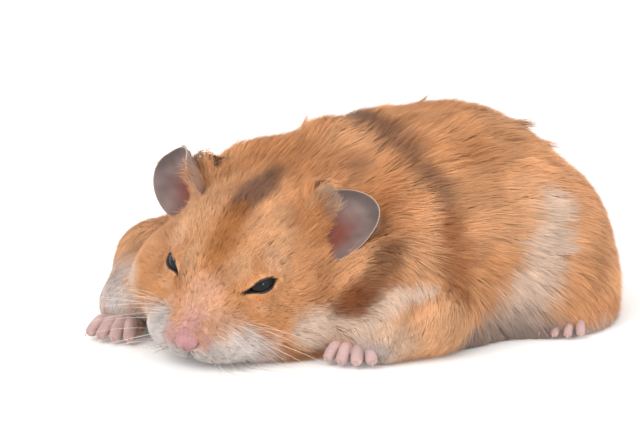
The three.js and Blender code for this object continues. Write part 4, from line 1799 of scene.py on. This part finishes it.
EAR_DOWN = (
    Down(150, 1, (-0.75, 0.1), (-0.98, -0.35), 4.2, 0.6),  # along the back edge
    Down(620, -1, (-0.6, 0.75), (-0.6, 0.82), 1.8, 0.35),  # over the back
    Down(190, -1, (-0.75, -0.35), (-0.45, 0.95), 2.4, 0.4),  # round the foot, behind
    Down(60, 1, (-0.9, -0.7), (-0.35, 1.0), 3.2, 0.8),  # and before
)
EAR_GROWTH = Growth((0.0, 1.0), (0.2, 0.2), (2.0, 2.0), (0.3, 0.3), (0.025, 0.025), (0.2, 0.2))


@dataclass(frozen=True)
class Ear:
    """One ear: a cupped sheet, told by `across` and `up`, each from -1 to 1, and a lift off its middle.

    Its foot and the ways that it rises and spreads are told as if it were a left ear.
    """

    side: Side
    at: Point
    rises: Point
    spreads: Point
    height: float = 18.2
    half_width: float = 7.5
    thick: float = 1.0
    cup: float = 2.8
    lean: float = 1.6
    bowl: float = 1.5
    taper: float = 0.16
    skew: float = 0.0  # share by which the tip is drawn over to the front
    bend: float = 0.75  # radians by which the back half turns in
    wide: float = 1.1  # its width and depth, as shares of the front half's width
    deep: float = 1.0
    tragus: float = 1.3  # mm by which the bump at its foot stands out
    clear: float = 3.2  # mm round the notch that is kept free of the coat

    def vectors(self) -> tuple[Array, Array, Array]:
        """Unit vectors in the world: up the ear, across it, and out of its hollow face.

        Returns:
            The three unit vectors.
        """
        flip = np.array([self.side.value, 1.0, 1.0])
        rise = unit(np.asarray(self.rises) * flip)
        spread = np.asarray(self.spreads) * flip
        spread = unit(spread - (spread @ rise) * rise)
        facing = -self.side.value * np.cross(rise, spread)
        return tuple(v @ HEAD.axes.T for v in (rise, spread, facing))

    @property
    def notch(self) -> Array:
        """The lower end of the ear's front edge."""
        return self.sheet(np.array([0.8]), np.array([-0.45]), np.zeros(1))[0]

    def sheet(self, across: Array, up: Array, lift: Array) -> Array:
        """Points of the ear: base + rise + spread + facing, each times its own formula below.

        The tip is skewed by `skew` across. The width tapers by `taper` up and the face leans back by lean up.
        The front half bends in by cup across^2 and curls by a bump at its foot. The back half is an arc that
        turns by k, `bend` at the middle of the ear's height and more below: -sin(k a) / k across and
        (1 - cos(k a)) / k out. A bowl of exp(-d^2) sinks in over the ear's opening.

        Args:
            across: places across, -1 at the back edge.
            up: places up, -1 at the foot.
            lift: mm off the sheet's middle, towards its hollow face.

        Returns:
            Points in the world, mm.
        """
        rise, spread, facing = self.vectors()
        up = up + self.skew * across * np.clip(up, 0, 1)
        taper = 1 - self.taper * up - 0.2 * up**2 * (up < 0)
        bowl = self.bowl * bump(across / 0.5, (up + 0.3) / 0.5)
        tragus = self.tragus * bump((across - 0.82) / 0.24, (up + 0.55) / 0.34)
        k, behind = self.bend * (1 - 0.3 * up), np.clip(-across, 0, None)
        arc = self.deep * self.half_width * (1 - np.cos(k * behind)) / k
        out = np.where(across < 0, arc, self.cup * across**2) - self.lean * up - bowl + tragus + lift
        across = np.where(across < 0, -self.wide * np.sin(k * behind) / k, across)
        base = HEAD.out(np.asarray(self.at) * (self.side.value, 1, 1))
        return (base + (self.height / 2 * (0.62 + up))[..., None] * rise
                + (across * self.half_width * taper)[..., None] * spread + out[..., None] * facing)

    def build(self) -> bpy.types.Object:
        """The closed sheet: rings that widen from one face's middle, round the rim, to the other's.

        Returns:
            The ear.
        """
        grid = ball_grid(64, 96)
        flat = np.hypot(grid[..., 0], grid[..., 2])
        reach = flat**0.6
        across, up = grid[..., 0] / flat * reach, -grid[..., 2] / flat * reach
        thin = self.thick / 2 * (1 - 0.35 * reach**6)
        face = grid[..., 1]
        lift = np.sign(face) * np.abs(face) ** 0.4 * thin + 0.35 * reach**10
        rings = self.sheet(across, up, lift)
        zero = np.zeros(1)
        poles = [self.sheet(zero, zero, zero + sign * self.thick / 2)[0] for sign in (1, -1)]
        shell = rings_to_shell(rings, *poles)
        u, v, rim, edge = (np.concatenate([values.ravel(), [0, 0]]) for values in (
            across, up, ramp(reach, 0.965, 0.999), ramp(reach, 0.5, 0.9)))
        front = np.concatenate([ramp(face, -0.2, 0.2).ravel(), [1, 0]])
        veins = 0.1 * ripple(shell.points, 1.5, 31) + 0.12 * ripple(shell.points, 4.0, 32)
        colours = np.broadcast_to(Tone.EAR_GREY.value, shell.points.shape) * (1 + veins)[:, None]
        flush = bump((u - 0.1) / 0.5, (v + 0.35) / 0.62) * front
        colours = mixed(colours, Tone.EAR_RED.value, np.clip(flush * 1.15, 0, 1))
        colours = mixed(colours, Tone.EAR_DEEP.value, 0.8 * front * bump(u / 0.2, (v + 0.52) / 0.2))
        dusk = edge * front * ramp(v - 0.6 * u, -0.2, 0.7)
        colours = mixed(colours, Tone.EAR_DUSK.value, 0.75 * dusk)
        colours = mixed(colours, Tone.EAR_BACK.value, 0.6 * (1 - front))
        # pale along the rim: the fine pale hairs of its edge, with a painted highlight along it
        colours = mixed(colours, Tone.CREAM.value, 0.55 * rim)
        ear = put_mesh(f"ear_sheet_{self.side.word}", shell, colours)
        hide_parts(f"ear_{self.side.word}")
        return dress(ear, EAR_FINISH)

    def locks(self, coat: Coat, down: Down) -> Locks:
        """Locks on one face of the ear that lie towards its tip and rim.

        Args:
            coat: whose draws are used.
            down: which locks.

        Returns:
            The locks.
        """
        rng, nodes = coat.rng, coat.nodes
        count = int(down.count * HAIR_SHARE) + 1
        up = rng.uniform(*down.ups, count)
        across = rng.uniform(*down.acrosses, count) * np.sqrt(np.clip(1 - up**2, 0.1, 1))
        way = unit(np.stack([across * 0.7 + rng.normal(0, 0.18, count), up * 0.3 + 0.8], -1))
        t = np.linspace(0, 1, nodes)
        length = down.length * rng.uniform(0.7, 1.2, count)
        rise = down.rise * t**0.8 * rng.uniform(0.5, 1.2, (count, 1))
        line = self.sheet(across[:, None] + way[:, :1] * t * (length / self.half_width)[:, None],
                          up[:, None] + way[:, 1:] * t * (length / self.height * 2)[:, None],
                          down.face * (self.thick * 0.3 + rise))
        facing = np.broadcast_to(self.vectors()[2] * down.face, line.shape)
        ahead = unit(np.gradient(line, axis=1))
        uv = np.stack([(across + 1) / 2, (up + 1) / 2], -1)
        return Locks(line, facing, np.cross(ahead, facing), uv, np.zeros(count))

    def fur(self, coat: Coat) -> bpy.types.Object:
        """All of the ear's hair, as EAR_DOWN tells it."""
        locks = Locks.joined([self.locks(coat, down) for down in EAR_DOWN])
        return coat.grow(f"coat_ear_{self.side.word}", locks, EAR_GROWTH, self.dye)

    def dye(self, points: Array) -> Array:
        """The colour of its hair: near the coat's own at the foot, pale up the ear.

        Args:
            points: where it is read, mm.

        Returns:
            Linear colours.
        """
        rise = self.vectors()[0]
        up = (points - HEAD.out(np.asarray(self.at) * (self.side.value, 1, 1))) @ rise
        foot = mixed(coat_colour(points), Tone.SANDY.value, np.full(points.shape[:-1], 0.6))
        return mixed(foot, Tone.EAR_DOWN.value, ramp(up, 3.5, 8.5))


EARS = (
    Ear(Side.LEFT, (15.1, 7.7, 7.4), (8.2, 2.4, 7.7), (5.4, -4.5, -8.6)),
    Ear(Side.RIGHT, (13.8, 8.6, 9.2), (9.6, 1.7, 6.7), (2.8, 1.2, -6.2), height=15.0,
        taper=-0.06, skew=0.35, bend=1.6, wide=1.75, deep=1.3),
)


@dataclass(frozen=True)
class Whiskers:
    """Long stiff hairs in rows on the pads beside the nose."""

    rows: int = 5
    columns: int = 5
    length: Pair = (11.0, 25.0)  # front and back of the pad
    radius: float = 0.06
    first: Point = (4.6, -20.6, -5.6)  # the front root of the top row, in the head, as on the left
    run: Pair = (4.2, 5.0)  # out and back from the front root of a row to its last
    pitch: float = 1.35  # mm from row to row
    ways: tuple[Pair, ...] = (  # out, back and up: at the first root, and the change
        (0.9, 0.15), (-0.62, 0.75), (0.34, -0.2))  # to the last of the row, for up to the next row
    stray: Pair = (0.25, 0.05)  # mm that the roots stray, and the ways
    sag: Pair = (1.0, 3.0)  # mm that the first tip of a row hangs down, and the last more
    seed: int = 5

    def build(self) -> bpy.types.Object:
        """Thin tapered tubes: root + way t length, bent down by sag t^2.

        Returns:
            All whiskers as one piece.
        """
        rng = np.random.default_rng(self.seed)
        t = np.linspace(0, 1, 14)
        hairs = []
        for side in Side:
            for row in range(self.rows):
                for column in range(self.columns):
                    back = column / (self.columns - 1)
                    out = side.value
                    spot = np.array([out * (self.first[0] + self.run[0] * back),
                                     self.first[1] + self.run[1] * back, self.first[2] - self.pitch * row])
                    root = self.on_skin(HEAD.out(spot + rng.normal(0, self.stray[0], 3)))
                    x, y, z = (first + more * step
                               for (first, more), step in zip(self.ways, (back, back, row)))
                    way = unit(np.array([out * x, y, z]))
                    short, long = self.length
                    length = short + (long - short) * back * rng.uniform(0.75, 1.05)
                    length *= min(0.5 + 0.25 * row, 1.0)
                    hang = self.sag[1] * back + self.sag[0]
                    hairs.append(self.hair(root, way, length, hang, t, rng))
        shell = merged(hairs)
        share = np.tile(np.concatenate([np.repeat(t, 5), [0, 1]]), len(hairs))
        colours = mixed(np.broadcast_to(Tone.WHISKER_ROOT.value, shell.points.shape), Tone.WHISKER.value,
                        ramp(share, 0.0, 0.35))
        return dress(put_mesh("whiskers", shell, colours), WHISKER_FINISH)

    def hair(self, root: Array, way: Array, length: float, sag: float, t: Array,
             rng: np.random.Generator) -> Shell:
        """One hair from its root along a way of the head.

        Args:
            root: where it starts, mm.
            way: where it points, in the head's frame.
            length: how long it is, mm.
            sag: mm that its tip hangs down.
            t: shares of its length at its rings.
            rng: draws how it strays.

        Returns:
            The hair.
        """
        way = unit(HEAD.axes @ (way + rng.normal(0, self.stray[1], 3)))
        line = root + np.outer(t * length, way) - np.outer(sag * t**2, UP)
        line[:, 2] = np.maximum(line[:, 2], LOW + 0.2 * t)
        return tube(line, self.radius * (1 - 0.85 * t), 5, np.array([0.1, 0.2, 1.0]))

    @staticmethod
    def on_skin(point: Array) -> Array:
        """The nearest place on the skin, by six steps down the slope.

        Args:
            point: a place near the skin, mm.

        Returns:
            The place on the skin, mm.
        """
        p = point[None].copy()
        for _ in range(6):
            p = p - TORSO.outward(p) * TORSO.skin(p)[:, None]
        return p[0]


# -------- the studio
@dataclass(frozen=True)
class Studio:
    """The pale floor, the soft light and the camera. Metres and degrees."""

    camera_at: Point = (0.5554, -0.3789, 0.2011)
    camera_turn: Point = (75.0, 0.0, 58.0)
    lens: float = 175.5
    floor_size: float = 6.0
    ambient: float = 1.12
    lamps: tuple[tuple[str, Point, float, float], ...] = (  # name, place, size and power
        ("key_light", (0.25, -1.15, 1.05), 0.9, 9.0),
        ("fill_light", (1.2, 0.35, 0.7), 1.2, 3.0),
        ("catch_light", (1.2, 0.0, 0.12), 0.22, 1.5),
    )
    aim: Point = (0.0, -0.02, 0.02)  # that the lamps are turned to
    glow: float = 0.1  # of the floor, which is faintly lit from below

    def build(self) -> None:
        """Makes all of it."""
        scene = bpy.context.scene
        scene.view_settings.view_transform = "Standard"
        world = bpy.data.worlds.new("studio")
        world.use_nodes = True
        sky = world.node_tree.nodes["Background"]
        settle(sky, {"Color": (1.0, 0.99, 0.975, 1.0), "Strength": self.ambient})
        scene.world = world
        for name, at, size, power in self.lamps:
            light = bpy.data.lights.new(name, "AREA")
            light.shape, light.size, light.energy = "SQUARE", size, power
            lamp = linked(name, light)
            lamp.location = at
            lamp.rotation_euler = (Vector(self.aim) - Vector(at)).to_track_quat("-Z", "Y").to_euler()
        camera = bpy.data.cameras.new("camera")
        camera.lens = self.lens
        camera.sensor_width = 36.0
        camera.clip_start = 0.01
        eye = linked("camera", camera)
        eye.location = self.camera_at
        eye.rotation_euler = [math.radians(angle) for angle in self.camera_turn]
        scene.camera = eye
        self.floor()

    def floor(self) -> None:
        """A wide flat grid just under z = 0."""
        side = np.linspace(-self.floor_size / 2, self.floor_size / 2, 9) / MM
        x, y = np.meshgrid(side, side, indexing="ij")
        index = np.arange(81).reshape(9, 9)
        quads = np.stack([index[:-1, :-1], index[1:, :-1], index[1:, 1:], index[:-1, 1:]], -1).reshape(-1, 4)
        points = np.stack([x, y, np.full_like(x, -0.02)], -1).reshape(-1, 3)
        floor = put_mesh("floor", Shell(points, quads, np.empty((0, 3), int)))
        paper = bpy.data.materials.new("pale_paper")
        paper.use_nodes = True
        shader = paper.node_tree.nodes["Principled BSDF"]
        settle(shader, {
            "Base Color": (0.94, 0.94, 0.935, 1.0),
            "Roughness": 0.9,
            "Specular IOR Level": 0.1,
            "Emission Color": (1.0, 1.0, 1.0, 1.0),
            "Emission Strength": self.glow,
        })
        floor.data.materials.append(paper)


def main() -> None:
    """Builds the hamster piece by piece, then the studio."""
    logging.basicConfig(level=logging.INFO, format="%(name)s: %(message)s")
    grids = {"torso": fan(TORSO), "tail": fan(TAIL)}
    grids.update({f"foreleg_{arm.side.word}": fan(arm) for arm in ARMS})
    Skin().build(grids)
    coat = Coat()
    torso = coat.comb(TORSO, grids["torso"][0])
    left = np.where(torso.station > 40, torso.path[:, 0, 0], HEAD.into(torso.path[:, 0])[:, 0]) > 0
    for region in REGIONS:
        inside = (torso.station >= region.near) & (torso.station < region.far)
        for side in Side:
            chosen = inside & (left == (side is Side.LEFT))
            coat.grow(f"coat_{region.name}_{side.word}", torso.pick(chosen), TORSO.growth)
    for arm in ARMS:
        name = f"foreleg_{arm.side.word}"
        coat.grow(f"coat_{name}", coat.comb(arm, grids[name][0]), arm.growth)
    palms = Locks.joined([coat.comb(palm, fan(palm)[0]) for palm in PALMS])
    coat.grow("coat_paws", palms, Palm.growth)
    coat.grow("coat_tail", coat.comb(TAIL, grids["tail"][0]), TAIL.growth)
    for eye in EYES:
        EyeSet(eye).build_ball()
        EyeSet(eye).build_lids()
    Nose().build()
    for ear in EARS:
        ear.build()
        ear.fur(coat)
    Whiskers().build()
    claws = merged([paw.claws() for paw in PAWS])
    dress(put_mesh("claws", claws, np.broadcast_to(Tone.CLAW.value, claws.points.shape)), CLAW_FINISH)
    Studio().build()


if __name__ == "__main__":
    main()
